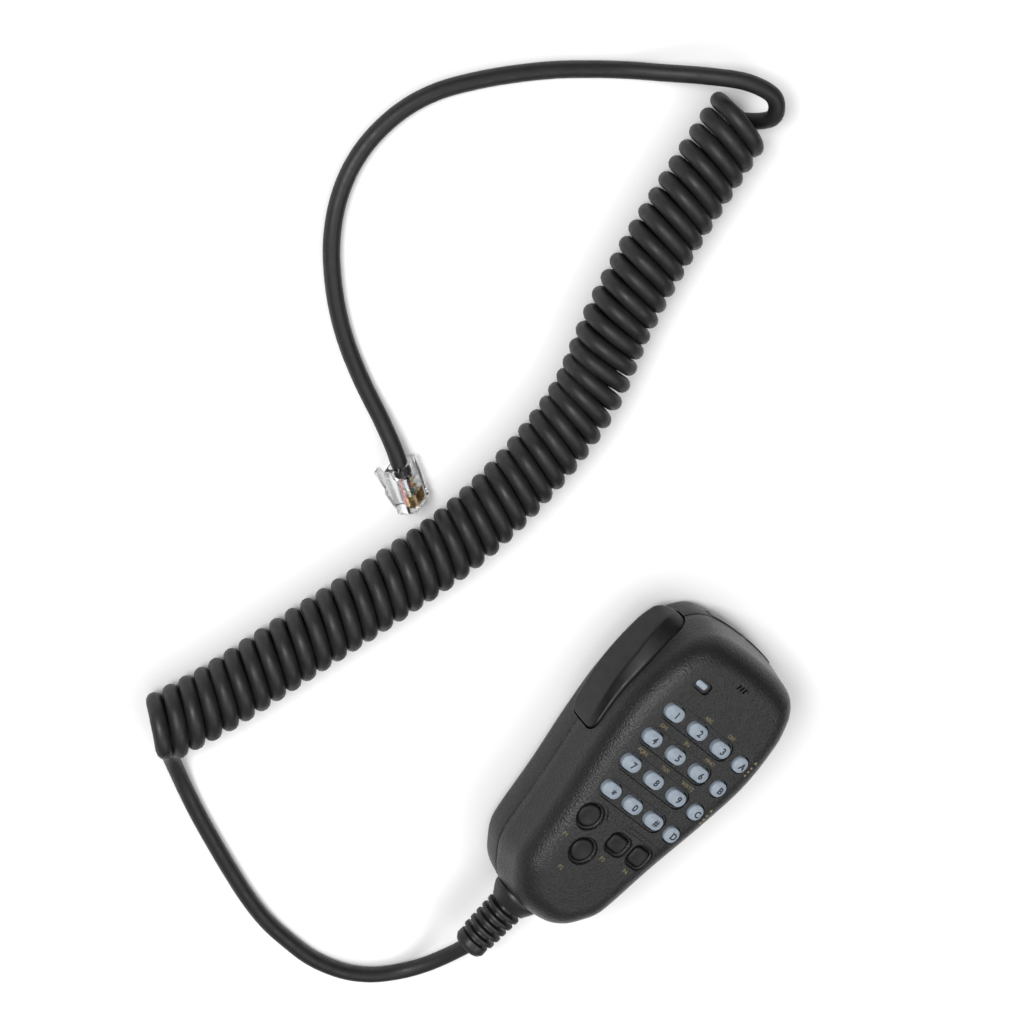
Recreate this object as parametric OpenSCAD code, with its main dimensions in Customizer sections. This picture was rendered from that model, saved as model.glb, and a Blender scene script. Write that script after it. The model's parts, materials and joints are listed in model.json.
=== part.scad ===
// Hand microphone with a keypad, a press-to-talk lever and a curly cord.
// It lies on its back: X runs across the face, Y runs up the body and Z stands out of the face.
// The parts are drawn about the body's own centre line, and place() moves them so that the
// body without its cord is centred on X = 0 and Y = 0, with its back at Z = 0.

/* [Case] */
// Half of the case's greatest width, at the parting line
half_w = 28.3; // [27.9:0.1:28.7]
// Height of the case's top end above its centre
top_y = 51.4; // [51.2:0.1:51.7]
// Depth of the case's lower end below its centre
end_y = 56.4; // [56.1:0.1:56.7]
// Height of the face above the surface it rests on
face_z = 34; // [33:0.5:35]
// Height of the parting line
seam_z = 13.5; // [13:0.25:14]
// Height of the upper part of the back, which the hanger button stands out of
back_z = 4; // [3.5:0.25:4.5]
// Thickness of the case's walls
wall = 2; // [1.8:0.1:2.2]

/* [Keypad] */
// Width of a number key
key_w = 7; // [6.6:0.1:7.4]
// Height of a number key
key_h = 4.8; // [4.4:0.1:5.2]
// Width of a letter key
letter_w = 5.2; // [4.8:0.1:5.4]
// Distance between two rows of keys
row_pitch = 10.05; // [10:0.05:10.2]
// Height of the keys above the face
key_proud = 1.2; // [1:0.1:1.4]
// Travel of a key
key_travel = 0.8; // [0.5:0.1:0.8]

/* [Talk lever] */
// How far the lever stands out of the case's side
ptt_proud = 3.2; // [2.8:0.1:3.4]
// Top end of the lever
ptt_top = 44.3; // [43.5:0.1:44.5]
// Lower end of the lever
ptt_end = 0.6; // [0.4:0.1:0.9]

/* [Cord] */
// Diameter of the cord
cord_d = 4.9; // [4.8:0.1:5]
// Outer diameter of the curly part
coil_d = 21.2; // [20.8:0.1:21.4]

/* [Hidden] */

$fn = 48;
clear = 0.35;            // gap round a moving piece
inner_z = face_z - 2.2;  // underside of the face

// The case's outline at the parting line: its right half, from the top end to the lower end
half_outline = [[0, top_y], [8, 51.1], [14.5, 50.1], [18.8, 48.4], [22.2, 45.2], [24.6, 41], [27, 33],
    [half_w, 17], [26.2, -1], [22.7, -21], [20.4, -38], [18.9, -44], [15.9, -48.6], [11.8, -53],
    [6.5, -55.7], [0, -end_y]];
outline_steps = 2;
half_n = len(half_outline) - 1;
whole_outline = concat(half_outline,
    [for (i = [half_n - 1 : -1 : 1]) [-half_outline[i][0], half_outline[i][1]]]);

function between(a, b, c, d, t) =
    0.5 * (2 * b + (c - a) * t + (2 * a - 5 * b + 4 * c - d) * t * t + (3 * b - a - 3 * c + d) * t * t * t);
function closed_curve(p, steps) = [for (i = [0 : len(p) - 1], k = [0 : steps - 1])
    let (n = len(p)) between(p[(i + n - 1) % n], p[i], p[(i + 1) % n], p[(i + 2) % n], k / steps)];
function open_curve(p, steps) = concat([for (i = [0 : len(p) - 2], k = [0 : steps - 1])
    let (n = len(p)) between(p[max(i - 1, 0)], p[i], p[i + 1], p[min(i + 2, n - 1)], k / steps)],
    [p[len(p) - 1]]);

outline = closed_curve(whole_outline, outline_steps);
outline_n = len(outline);
// The right half as a table of width against height, and the top end as height against width
side_table = [for (i = [outline_n / 2 : -1 : 0]) [outline[i][1], outline[i][0]]];
top_table = [for (i = [0 : 3 * outline_steps]) outline[i]];
function side_x(y) = lookup(y, side_table);
function top_edge(x) = lookup(abs(x), top_table);

function inward(i) = let (a = outline[(i + 1) % outline_n], b = outline[(i + outline_n - 1) % outline_n],
    d = a - b) [d[1], -d[0]] / norm(d);
function inset_ring(d) = [for (i = [0 : outline_n - 1]) outline[i] + inward(i) * d];

// A closed shape through rings of equal point count; its ends are filled with strips across X
function strip_cap(first, n, up) = [for (i = [0 : n / 2 - 1])
    let (a = first + i, b = first + i + 1, c = first + n - i - 1, d = first + (n - i) % n)
    for (f = i == 0 ? [[a, b, c]] : i == n / 2 - 1 ? [[a, b, d]] : [[a, b, c], [a, c, d]])
    up ? f : [f[2], f[1], f[0]]];
module loft(rings) {
    n = len(rings[0]);
    last = (len(rings) - 1) * n;
    sides = [for (r = [0 : len(rings) - 2], i = [0 : n - 1])
        let (a = r * n + i, b = r * n + (i + 1) % n, c = a + n, d = b + n)
        for (f = [[a, b, d], [a, d, c]]) f];
    polyhedron([for (r = rings) each r], concat(sides, strip_cap(0, n, false), strip_cap(last, n, true)));
}
function flat_ring(d, z) = [for (p = inset_ring(d)) [p[0], p[1], z]];

// The floor inside steps down towards the heel, below the recess in the back
heel_y = -27;
step_y = 9;
function ease(t) = let (u = min(max(t, 0), 1)) u * u * (3 - 2 * u);
function back_at(y) = back_z * ease((y - heel_y) / step_y);
function back_ring(d, above) = [for (p = inset_ring(d)) [p[0], p[1], back_at(p[1]) + above]];

// Where the body lies in the part's frame
scan_proud = 0.5;
axis_x = ptt_proud / 2;
axis_y = (end_y - top_y - scan_proud) / 2;
module place() translate([axis_x, axis_y, 0]) children();

// A flat shape with rounded corners
module rounded(w, h, r) {
    square([w - 2 * r, h], center = true);
    square([w, h - 2 * r], center = true);
    for (x = [-1, 1], y = [-1, 1]) translate([x * (w / 2 - r), y * (h / 2 - r)]) circle(r);
}
module slab(w, h, r, z0, z1) translate([0, 0, z0]) linear_extrude(z1 - z0) rounded(w, h, r);
module rod(r, z0, z1) translate([0, 0, z0]) cylinder(r = r, h = z1 - z0);

// Keypad layout: four columns that draw together towards the last row
column_x = [-15.2, -4.4, 6.4, 15.7];
row_fan = [1, 1, 0.97, 0.9];
top_row_y = 22;
function key_x(c, r) = column_x[c] * row_fan[r];
function key_y(r) = top_row_y - r * row_pitch;
key_r = 2.3;
band_depth = 0.4;
flange = 0.8;           // how far a key's hidden edge stands out all round
flange_top = inner_z - 0.3;
flange_end = flange_top - 1;
mat_base = 26.6;        // top of the main board
dome_top = flange_end - key_travel - 0.2;

// Programme buttons: two round ones and two square ones
p1_at = [-13, -18.6];
p2_at = [-6.5, -28.5];
p3_at = [1.8, -20.6];
p4_at = [11, -20];
p_r = 3.7;
p3_size = [6.4, 5.5];
p4_size = [6, 6];
p_top = face_z - 0.3;
// Where each key and programme button presses the mat
press_points = concat([for (r = [0 : 3], c = [0 : 3]) [key_x(c, r), key_y(r)]], [p1_at, p2_at, p3_at, p4_at]);
mat_t = 0.8;

// Lens, sound slots and microphone
lens_at = [-14.2, 33.7];
lens_size = [5.8, 2.3];
mic_at = [-2.6, 40.4];
slot_pitch = 1.3;
capsule_r = 4.85;
boot_r = 6.2;

// Talk lever: its pin, its window in the case and its switch
ptt_low = 6.6;
ptt_high = 22.8;
pin_at = [-22.4, 3.5];
pin_r = 1;
lug_top = 24.8;
nub_y = 36;
nub_x = -20.6;
lever_round = 4;        // radius of the lever's ends
switch_x = -19.35;
switch_z = 16.8;
plunger_r = 1.5;

// Buttons on the top end
scan_in = 0.8;
scan_out = 14.2;
scan_low = 7.8;
scan_high = 13.3;
scan_switch_y = 40.8;

// Screws
case_screw_at = [[-9, 29.5], [9, 29.5], [-12.5, -41], [12.5, -41]];
case_post_top = [inner_z + 0.5, inner_z + 0.5, 29.5, 29.5];
board_screw_at = [[-18, 29], [18, 29], [-17.3, -3.1], [8.2, -34.5]];
board_post_r = 1.7;
hanger_at = [0, 19];
slider_x = 9;
slider_y = -6;
slider_travel = 2.5;

// Cord: where it leaves the case, and the strain relief's parts along it
cord_z = 14.5;
collar_y = -55;
collar_l = 5.4;
tail_tilt = 4;
rib_pitch = 2.74;
rib_count = 5;
boot_tip = 18.6;        // length of the ribbed tail
tail_start = [0, collar_y - collar_l, cord_z];
tail_dir = [0, -cos(tail_tilt), -sin(tail_tilt)];
boot_end = tail_start + boot_tip * tail_dir;

// The route's points, from the strain relief to the coil, along the coil and on to the plug
lead_route = [boot_end - tail_dir, [-0.2, -86, 8.8], [-2, -94, 5.2], [-6, -101, 3], [-13, -107, 2.6],
    [-22, -111, 2.6], [-33, -112.8, 2.6], [-44, -112.2, 2.6], [-55, -110.6, 2.6], [-66, -107.4, 2.6],
    [-77, -103.2, 2.6], [-88, -98.6, 2.6], [-98, -94.2, 2.6], [-107, -89.8, 3], [-115, -85.6, 5],
    [-122, -82, 9], [-127, -78, 14]];
coil_route = [[-130.5, -78, 10.8], [-122.5, -59.5, 10.8], [-114, -33, 10.8], [-104.5, -3.5, 10.8],
    [-97.5, 22, 10.8], [-95.2, 49, 10.8], [-97.4, 75, 10.8], [-106, 99, 10.8], [-112, 122, 10.8],
    [-116.5, 146, 10.8], [-119.5, 165, 10.8]];
tail_route = [[-113, 163, 9.5], [-112.5, 170.5, 12], [-118, 174.6, 15], [-127, 172.4, 14.5],
    [-136, 166.2, 11], [-145, 158.6, 6.5], [-153, 152, 3.2], [-161, 145.4, 2.6], [-169, 138.4, 2.6],
    [-177, 130.2, 2.6], [-184.5, 121.4, 2.6], [-191, 112, 2.6], [-195, 102, 2.6], [-196.4, 91, 2.6],
    [-195.2, 81, 2.6], [-191.6, 71.6, 2.6], [-186, 63, 2.6], [-179, 55.6, 2.6], [-170.5, 48.6, 2.6],
    [-161, 42.6, 2.6], [-150, 37.2, 3], [-140, 33, 4.4], [-132, 29.2, 6.2]];

// Plug: its place, its direction on the surface and how far it has rolled on its side
plug_at = [-126.5, 26.2, 6.6];
plug_turn = -28.5;
plug_roll = -50;
plug_l = 14.6;
plug_w = 9.65;
plug_h = 6.6;
pin_pitch = 1.02;
jacket_in = 3.6;
latch_x = 13.2;
latch_z = -plug_h / 2 - 0.8;
latch_r = 0.65;         // radius of the latch's root
latch_l = 12.2;
latch_angle = 19;
module plug_frame() place() translate(plug_at) rotate([0, 0, plug_turn]) rotate([plug_roll, 0, 0]) children();
plug_dir = [cos(plug_turn), sin(plug_turn), 0];

// A round tube swept along points, with its rings held upright
module tube(path, r, sides) {
    n = len(path);
    rings = [for (i = [0 : n - 1]) let (
        along = path[min(i + 1, n - 1)] - path[max(i - 1, 0)],
        t = along / norm(along),
        flat = cross(t, [0, 0, 1]),
        u = flat / norm(flat),
        v = cross(u, t))
        [for (k = [0 : sides - 1]) path[i] + r * (cos(k * 360 / sides) * u + sin(k * 360 / sides) * v)]];
    walls = [for (i = [0 : n - 2], k = [0 : sides - 1])
        let (a = i * sides + k, b = i * sides + (k + 1) % sides, c = a + sides, d = b + sides)
        for (f = [[a, d, b], [a, c, d]]) f];
    ends = [[for (k = [0 : sides - 1]) k], [for (k = [sides - 1 : -1 : 0]) (n - 1) * sides + k]];
    polyhedron([for (ring = rings) each ring], concat(walls, ends));
}

// ---------------------------------------------------------------- case

side_draft = 1.2;
shoulder_z = face_z - 9.5;
module front_outer() loft(concat([flat_ring(0, seam_z), flat_ring(side_draft, shoulder_z)],
    [for (a = [18 : 18 : 90]) flat_ring(side_draft + 8.6 * (1 - cos(a)), shoulder_z + 9.5 * sin(a))]));
module front_inner() loft(concat([flat_ring(wall, seam_z - 1), flat_ring(side_draft + wall, shoulder_z)],
    [for (a = [30 : 30 : 90]) flat_ring(side_draft + wall + 7.2 * (1 - cos(a)),
        shoulder_z + (inner_z - shoulder_z) * sin(a))]));
module rear_outer() mirror([0, 0, 1]) loft(concat([turn_over(flat_ring(0, seam_z)),
    turn_over(flat_ring(0.4, 4.4))],
    [for (a = [22.5 : 22.5 : 90]) turn_over(flat_ring(0.4 + 3.8 * (1 - cos(a)), 4.4 * (1 - sin(a))))]));
module rear_inner() mirror([0, 0, 1]) loft([turn_over(flat_ring(wall, seam_z + 1)),
    turn_over(back_ring(0.6 + wall, 5.5)), turn_over(back_ring(1.6 + wall, 3)),
    turn_over(back_ring(3.5 + wall, wall))]);
function turn_over(ring) = [for (p = ring) [p[0], p[1], -p[2]]];

module key_cut(c, r) translate([key_x(c, r), key_y(r), 0])
    if (c < 3) slab(key_w + 2 * clear, key_h + 2 * clear, key_r + clear, inner_z - 1, face_z + 1);
    else slab(letter_w + 2 * clear, letter_w + 2 * clear, key_r + clear, inner_z - 1, face_z + 1);
module band_cut(r) translate([(key_x(0, r) + key_x(2, r)) / 2, key_y(r), 0])
    slab(key_x(2, r) - key_x(0, r) + key_w + 1.6, key_h + 2, key_r + 0.9, face_z - band_depth, face_z + 1);
// Pockets under the face for the hidden flanges, the lens's rim and the microphone's boot
pocket_end = flange_end - key_travel - 0.3;
module flange_pocket(w, h, r) slab(w + 2 * (flange + clear), h + 2 * (flange + clear), r + flange + clear,
    pocket_end, inner_z);
module round_button_cut() {
    rod(p_r + 0.3, inner_z - 1, face_z + 1);
    rod(p_r + flange + clear, pocket_end, inner_z);
    translate([0, 0, face_z - 0.7]) cylinder(r1 = p_r + 0.3, r2 = p_r + 1, h = 0.8);
}
module square_button_cut(size) {
    slab(size[0] + 0.6, size[1] + 0.6, 2, inner_z - 1, face_z + 1);
    flange_pocket(size[0], size[1], 1.7);
    slab(size[0] + 1.4, size[1] + 1.4, 2.2, face_z - 0.5, face_z + 1);
}
module face_cuts() {
    for (r = [0 : 3]) {
        band_cut(r);
        for (c = [0 : 3]) {
            key_cut(c, r);
            translate([key_x(c, r), key_y(r), 0])
                flange_pocket(c < 3 ? key_w : letter_w, c < 3 ? key_h : letter_w, key_r);
        }
    }
    translate(p1_at) round_button_cut();
    translate(p2_at) round_button_cut();
    translate(p3_at) square_button_cut(p3_size);
    translate(p4_at) square_button_cut(p4_size);
    translate(lens_at) {
        slab(lens_size[0] + 0.2, lens_size[1] + 0.2, 0.6, inner_z - 1, face_z + 1);
        slab(lens_size[0] + 1.4, lens_size[1] + 1.5, 1, face_z - 0.8, face_z + 1);
        slab(lens_size[0] + 2, lens_size[1] + 2, 1, pocket_end, inner_z);
    }
    translate(mic_at) rod(boot_r + 0.2, mat_base, inner_z);
    for (i = [-1 : 1]) translate([mic_at[0] + i * slot_pitch, mic_at[1], 0]) rotate(-14)
        slab(0.7, 1.8, 0.3, inner_z - 1, face_z + 1);
}
// The lever stands out further towards its top; its ends are rounded and its upper edge drops to the top
lever_steps = 18;
lever_stations = [for (i = [0 : lever_steps])
    ptt_end + (ptt_top - ptt_end) * (1 - cos(180 * i / lever_steps)) / 2];
function lever_proud(y) = ptt_proud * (0.44 + 0.027 * y);
function end_swell(y) = let (d = min(y - ptt_end, ptt_top - y), u = min(d / lever_round, 1))
    sqrt(1 - (1 - u) * (1 - u));
function lever_low(y) = ptt_low + lever_round * (1 - end_swell(y));
function lever_high(y) = ptt_high - 0.0105 * pow(max(y - 22, 0), 2) - lever_round * (1 - end_swell(y));
lever_edge = concat([for (y = lever_stations) [y, lever_low(y)]],
    [for (i = [lever_steps : -1 : 0]) [lever_stations[i], lever_high(lever_stations[i])]]);
window_mid = [(ptt_end + ptt_top) / 2, (ptt_low + ptt_high) / 2];
window_gap = [1.035, 1.06];
// Windows in the side for the lever and in the top end for its two buttons
module side_window() {
    translate([-40, 0, 0]) rotate([90, 0, 90]) linear_extrude(40 + nub_x + 2.2)
        polygon([for (p = lever_edge)
            [for (k = [0, 1]) window_mid[k] + (p[k] - window_mid[k]) * window_gap[k]]]);
    for (side = [-1, 1]) translate([side > 0 ? scan_in - clear : -scan_out - clear, scan_switch_y + 0.8,
        scan_low - clear]) cube([scan_out - scan_in + 2 * clear, 15, scan_high - scan_low + 2 * clear]);
}
module cord_hole() translate([0, collar_y, cord_z]) rotate([90, 0, 0]) {
    rod(8.45, 0, 20);
    rod(6, -8, 1);
}
boss_r = 2.8;
screw_pilot = 1.3;
module front_posts() {
    for (i = [0 : 3]) translate(case_screw_at[i]) rod(boss_r, seam_z + 0.1, case_post_top[i]);
    for (p = board_screw_at) translate(p) rod(board_post_r, mat_base, inner_z + 0.5);
}
module front_shell() color("#2b2b2d") place() {
    difference() {
        union() {
            difference() {
                front_outer();
                front_inner();
            }
            front_posts();
            translate(pin_at) rod(2.4, ptt_high + 0.7, lug_top);
        }
        translate(pin_at) rod(pin_r, ptt_high - 1, lug_top + 1);
        face_cuts();
        side_window();
        cord_hole();
        for (p = case_screw_at) translate(p) rod(screw_pilot, seam_z - 1, 24);
        for (p = board_screw_at) translate(p) rod(0.85, mat_base - 1, 31);
    }
}

head_recess = 2.6;
head_seat = 9;
// The back is recessed round the hanger button and the slide switches
rim_w = 7;
recess_end = -15;
module back_recess() translate([0, 0, -1]) linear_extrude(back_z + 1)
    polygon([for (p = inset_ring(rim_w)) if (p[1] > recess_end) p]);
module rear_posts() {
    for (p = case_screw_at) translate(p) rod(head_recess + 1, back_at(p[1]) + 1, seam_z - 0.1);
    translate(hanger_at) rod(3.6, back_z + 1, 12.5);
}
module rear_shell() color("#27272a") place() {
    difference() {
        union() {
            difference() {
                rear_outer();
                rear_inner();
            }
            rear_posts();
        }
        side_window();
        cord_hole();
        back_recess();
        for (p = case_screw_at) translate(p) {
            rod(head_recess, -1, head_seat);
            rod(1.45, head_seat - 1, seam_z + 1);
        }
        translate(hanger_at) rod(1.45, -1, 14);
        translate(pin_at) rod(pin_r, back_z + 1, 12);
        for (x = [-1, 1]) translate([x * slider_x, slider_y + slider_travel / 2, 0]) {
            slab(3, 6.2, 0.8, -1, 8);
            slab(6.4, 10.4, 2, -1, back_z + 0.8);
        }
    }
}

module shell_screws() color("#8e8f92") place() for (p = case_screw_at) translate(p) difference() {
    union() {
        rod(2.3, head_seat - 1.8, head_seat);
        rod(1.25, head_seat - 0.1, 22.5);
    }
    for (a = [0, 90]) rotate(a) translate([-1.3, -0.25, head_seat - 2]) cube([2.6, 0.5, 1.1]);
}

// ---------------------------------------------------------------- hanger

module hanger_button() color("#b9bbbd") place() translate(hanger_at) difference() {
    rotate_extrude() polygon([[0, 0], [5.6, 0], [6.5, 0.6], [6.5, 1.3], [5.9, 1.8], [3.6, 2],
        [3.6, back_z], [0, back_z]]);
    rod(1.5, -1, back_z + 1);
    translate([0, 0, -0.01]) cylinder(r1 = 3, r2 = 1.5, h = 1.6);
}
module hanger_screw() color("#9c9da0") place() translate(hanger_at) difference() {
    rotate_extrude() polygon([[0, 0.1], [2.75, 0.1], [1.35, 1.6], [1.35, 12], [0, 12]]);
    for (a = [0, 90]) rotate(a) translate([-1.5, -0.3, -0.1]) cube([3, 0.6, 1]);
}

// ---------------------------------------------------------------- board and what is on it

board_end = -42;
board_top = 43.8;
module main_board() color("#1f5f3a") place() translate([0, 0, mat_base - 1.6]) linear_extrude(1.6)
    difference() {
        intersection() {
            polygon(inset_ring(4.6));
            translate([-40, board_end]) square([80, board_top - board_end]);
        }
        for (p = case_screw_at) translate(p) circle(boss_r + 0.5);
        for (p = board_screw_at) translate(p) circle(1.15);
    }
module board_screws() color("#9c9da0") place() for (p = board_screw_at) translate(p) {
    rod(1.9, mat_base - 2.9, mat_base - 1.6);
    rod(0.8, mat_base - 1.7, 30.5);
}
module board_part(x, y, w, h, t) translate([x - w / 2, y - h / 2, mat_base - 1.6 - t]) cube([w, h, t]);
module board_parts() color("#222326") place() {
    board_part(2, 8, 12, 12, 1.5);
    board_part(2, -9, 6, 5, 1.4);
    board_part(-8, -10, 4.6, 2.2, 1.8);
    board_part(12, -4, 3.4, 3.4, 4);
    board_part(0, -29, 14, 5, 4.4);
    for (i = [0 : 5]) board_part(-10 + i * 4, 22, 2, 1.2, 0.8);
}
module keypad_mat() color("#dfe3e8") place() {
    difference() {
        union() {
            translate([0, (key_y(0) + key_y(3)) / 2, 0])
                slab(39, 3 * row_pitch + 8.4, 2, mat_base, mat_base + mat_t);
            translate([-0.75, -21.8, 0]) slab(32.5, 21, 2, mat_base, mat_base + mat_t);
        }
        for (p = press_points) translate(p) rod(2, mat_base - 1, mat_base + 1);
        for (r = [0 : 2], x = [-10, 1, 11.5]) translate([x, key_y(r) - row_pitch / 2, mat_base - 1])
            translate([-1.3, -0.9, 0]) cube([2.6, 1.8, 3]);
        translate(board_screw_at[2]) rod(board_post_r + 0.4, mat_base - 1, mat_base + 1);
    }
    for (p = press_points) translate([p[0], p[1], mat_base]) dome();
}
dome_h = dome_top - mat_base;
module dome() rotate_extrude() polygon([[1.9, 0.1], [2.6, 0.1], [1.7, dome_h - 0.6], [1.5, dome_h],
    [0, dome_h], [0, dome_h - 0.5], [1.1, dome_h - 0.5]]);
module key_contacts() color("#3a3a3c") place() for (p = press_points) translate(p)
    rod(1, dome_top - 0.9, dome_top - 0.5);
module backlight_leds() color("#e8e4c4") place() for (r = [0 : 2], x = [-10, 1, 11.5])
    translate([x - 0.8, key_y(r) - row_pitch / 2 - 0.4, mat_base]) cube([1.6, 0.8, 0.7]);
module status_led() color("#d8e0e8") place() translate([lens_at[0] - 1.5, lens_at[1] - 1, mat_base])
    cube([3, 2, 1.6]);
module status_lens() color("#dbe4ec") place() translate(lens_at) {
    slab(lens_size[0], lens_size[1], 0.5, inner_z - 0.2, face_z - 0.5);
    slab(lens_size[0] + 1.6, lens_size[1] + 1.6, 0.8, inner_z - 1.2, inner_z);
}

// ---------------------------------------------------------------- microphone

module mic_capsule() color("#a9abae") place() translate(mic_at) rod(capsule_r, mat_base + 0.5, inner_z - 0.7);
module mic_boot() color("#1c1c1e") place() translate(mic_at) difference() {
    rod(boot_r, mat_base, inner_z);
    rod(capsule_r + 0.03, mat_base + 0.5, inner_z + 1);
}
module mic_mesh() color("#3c3c40") place() translate(mic_at)
    rod(capsule_r - 0.1, inner_z - 0.6, inner_z - 0.2);

// ---------------------------------------------------------------- talk lever and its switch

side_board_x = switch_x + 5;
module side_boards() color("#1f5f3a") place() {
    translate([side_board_x, nub_y - 7, 11]) cube([1.2, 10, mat_base - 1.6 - 11]);
    translate([-13, scan_switch_y - 1.2, 7.2]) cube([26, 1.2, mat_base - 1.6 - 7.2]);
}
module ptt_switch() color("#1d1d20") place() difference() {
    translate([switch_x, nub_y - 3, switch_z - 3]) cube([5, 6, 6]);
    translate([switch_x - 1, nub_y, switch_z]) rotate([0, 90, 0]) cylinder(r = plunger_r + 0.05, h = 5.2);
}
module ptt_plunger() color("#d9d4c8") place() translate([nub_x + 0.05, nub_y, switch_z]) rotate([0, 90, 0])
    cylinder(r = plunger_r, h = 3.8);

function lever_ring(y) = let (s = side_x(y), k = 0.25 + 0.75 * end_swell(y),
    out = -s - lever_proud(y) * k, inside = -s + 1.8, low = lever_low(y), high = lever_high(y),
    q = min((high - low) / 6, 1))
    [[inside, y, low], [-s, y, low], [out + 0.8 * k, y, low + 0.2 * q], [out, y, low + 1.4 * q],
    [out, y, high - 3 * q], [out + 0.8 * k, y, high - 1.8 * q], [-s + 0.6, y, high - 0.3 * q],
    [inside, y, high]];
module lever_body() {
    rings = [for (y = lever_stations) lever_ring(y)];
    n = 8;
    walls = [for (i = [0 : lever_steps - 1], k = [0 : n - 1])
        let (a = i * n + k, b = i * n + (k + 1) % n, c = a + n, d = b + n)
        for (f = [[a, d, b], [a, c, d]]) f];
    ends = [[for (k = [0 : n - 1]) k], [for (k = [n - 1 : -1 : 0]) lever_steps * n + k]];
    polyhedron([for (ring = rings) each ring], concat(walls, ends));
}
knuckle_low = 8.4;
knuckle_high = 15.2;
module ptt_lever() color("#232326") place() difference() {
    union() {
        lever_body();
        translate(pin_at) rod(2.1, knuckle_low, knuckle_high);
        translate([-26.2, pin_at[1] - 1.6, knuckle_low]) cube([4, 3.2, knuckle_high - knuckle_low]);
        translate([-25, nub_y - 1.6, switch_z - 1.8]) cube([25 + nub_x, 3.2, 3.6]);
    }
    translate(pin_at) rod(pin_r + 0.05, knuckle_low - 1, knuckle_high + 1);
}
module ptt_pin() color("#c3c4c6") place() translate(pin_at) rod(pin_r, back_z + 1, lug_top);
spring_turns = 5;
spring_wire = 0.35;
module ptt_spring() color("#b4b5b8") place() translate([pin_at[0], pin_at[1], knuckle_high + 0.6])
    tube([for (i = [0 : 12 * spring_turns]) [1.6 * cos(i * 30), 1.6 * sin(i * 30), spring_wire + i * 0.085]],
        spring_wire, 6);

// ---------------------------------------------------------------- buttons on the top end

module scan_switches() color("#1d1d20") place() for (x = [-8.5, 8.5]) {
    translate([x - 3, scan_switch_y, scan_z - 3]) cube([6, 3.4, 6]);
    translate([x, scan_switch_y + 3.3, scan_z]) rotate([-90, 0, 0]) rod(1.6, 0, 0.9);
}
scan_z = (scan_low + scan_high) / 2;
scan_steps = 8;
function scan_x(i) = scan_in + (scan_out - scan_in) * i / scan_steps;
module scan_button(side) handed(side) {
    translate([0, 0, scan_low]) linear_extrude(scan_high - scan_low) polygon(concat(
        [for (i = [0 : scan_steps]) [scan_x(i), top_edge(scan_x(i)) + scan_proud]],
        [for (i = [scan_steps : -1 : 0]) [scan_x(i), top_edge(scan_x(i)) - 1.2]]));
    translate([7, scan_switch_y + 4.9, scan_z - 1.5]) cube([3, 4.4, 3]);
}
module handed(side) mirror([side < 0 ? 1 : 0, 0, 0]) children();
module up_button() color("#1f1f21") place() scan_button(1);
module down_button() color("#1f1f21") place() scan_button(-1);

// ---------------------------------------------------------------- slide switches on the back

module slide_switch_frames() color("#8d8f92") place() for (x = [-1, 1])
    translate([x * slider_x, slider_y + slider_travel / 2, 0]) difference() {
        slab(5.6, 10, 0.5, back_z + wall, back_z + wall + 4);
        slab(2.8, 6, 0.6, back_z + wall - 1, back_z + wall + 3);
    }
module slider(x) color("#1a1a1c") place() translate([x, slider_y, 0]) {
    slab(2.2, 2.4, 0.5, back_z - 0.6, back_z + wall + 2.6);
    for (y = [-0.7, 0, 0.7]) translate([-1, y - 0.15, back_z - 0.9]) cube([2, 0.3, 0.4]);
}
module lock_slider() slider(-slider_x);
module lamp_slider() slider(slider_x);

// ---------------------------------------------------------------- wiring and cord

wire_pitch = 2;
jacket_end = -45;
module wire_plug() color("#e6e1d3") place() translate([-6, -37.5, 20.9]) cube([12, 6, 4]);
wire_colours = ["#b3261e", "#e9e6da", "#c9a227", "#23282b", "#2f7d4f", "#c77a9b"];
module harness_wires() place() for (i = [0 : 5]) color(wire_colours[i]) {
    from = [(i - 2.5) * 0.8, jacket_end, cord_z + (i % 2) * 1.2 - 0.6];
    to = [(i - 2.5) * wire_pitch, -37.55, 22.9];
    tube([from, from + [0, 1.6, 0.2], (from + to) / 2, to - [0, 1.6, 0.3], to], 0.4, 6);
}
module inner_jacket() color("#161617") place() translate([0, jacket_end, cord_z]) rotate([90, 0, 0])
    rod(cord_d / 2, 0, jacket_end + 51);
module cord_clamp() color("#2e2e31") place() difference() {
    translate([-5.5, -50, wall + 0.1]) cube([11, 3.6, cord_z + 2.6]);
    translate([0, -46, cord_z]) rotate([90, 0, 0]) rod(cord_d / 2, -1, 5);
}
rib_first = 1.87;
rib_half = 0.87;
module boot_collar() translate([0, -51, cord_z]) rotate([90, 0, 0]) rotate_extrude() polygon([
    [0, 0], [7.2, 0], [7.2, 1.4], [5.7, 1.6], [5.7, 4.1], [8.2, 4.1], [8.2, 5.7], [7.2, 7.7], [6.4, 8.8], [6.2, 9.4],
    [0, 9.4]]);
module boot_tail() translate(tail_start) rotate([90 + tail_tilt, 0, 0]) {
    rod(4, -2, boot_tip - 1);
    for (i = [0 : rib_count - 1]) translate([0, 0, rib_first + i * rib_pitch])
        rod(6.1 - 0.08 * i, -rib_half, rib_half);
    rod(5.4, boot_tip - 3.9, boot_tip - 1.2);
    translate([0, 0, boot_tip - 1.2]) cylinder(r1 = 5.4, r2 = 4.2, h = 1.2);
}
module strain_relief() color("#1b1b1d") place() {
    boot_collar();
    boot_tail();
}
module cord_lead() color("#2a2a2c") place() tube(lead_route, cord_d / 2, 10);
module cord_coil() color("#2a2a2c") place() tube(open_curve(coil_route, 2), coil_d / 2, 12);
module cord_tail() color("#2a2a2c") place()
    tube(concat(tail_route, [plug_at - plug_dir, plug_at + jacket_in * plug_dir]), cord_d / 2, 10);

// ---------------------------------------------------------------- plug

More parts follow.
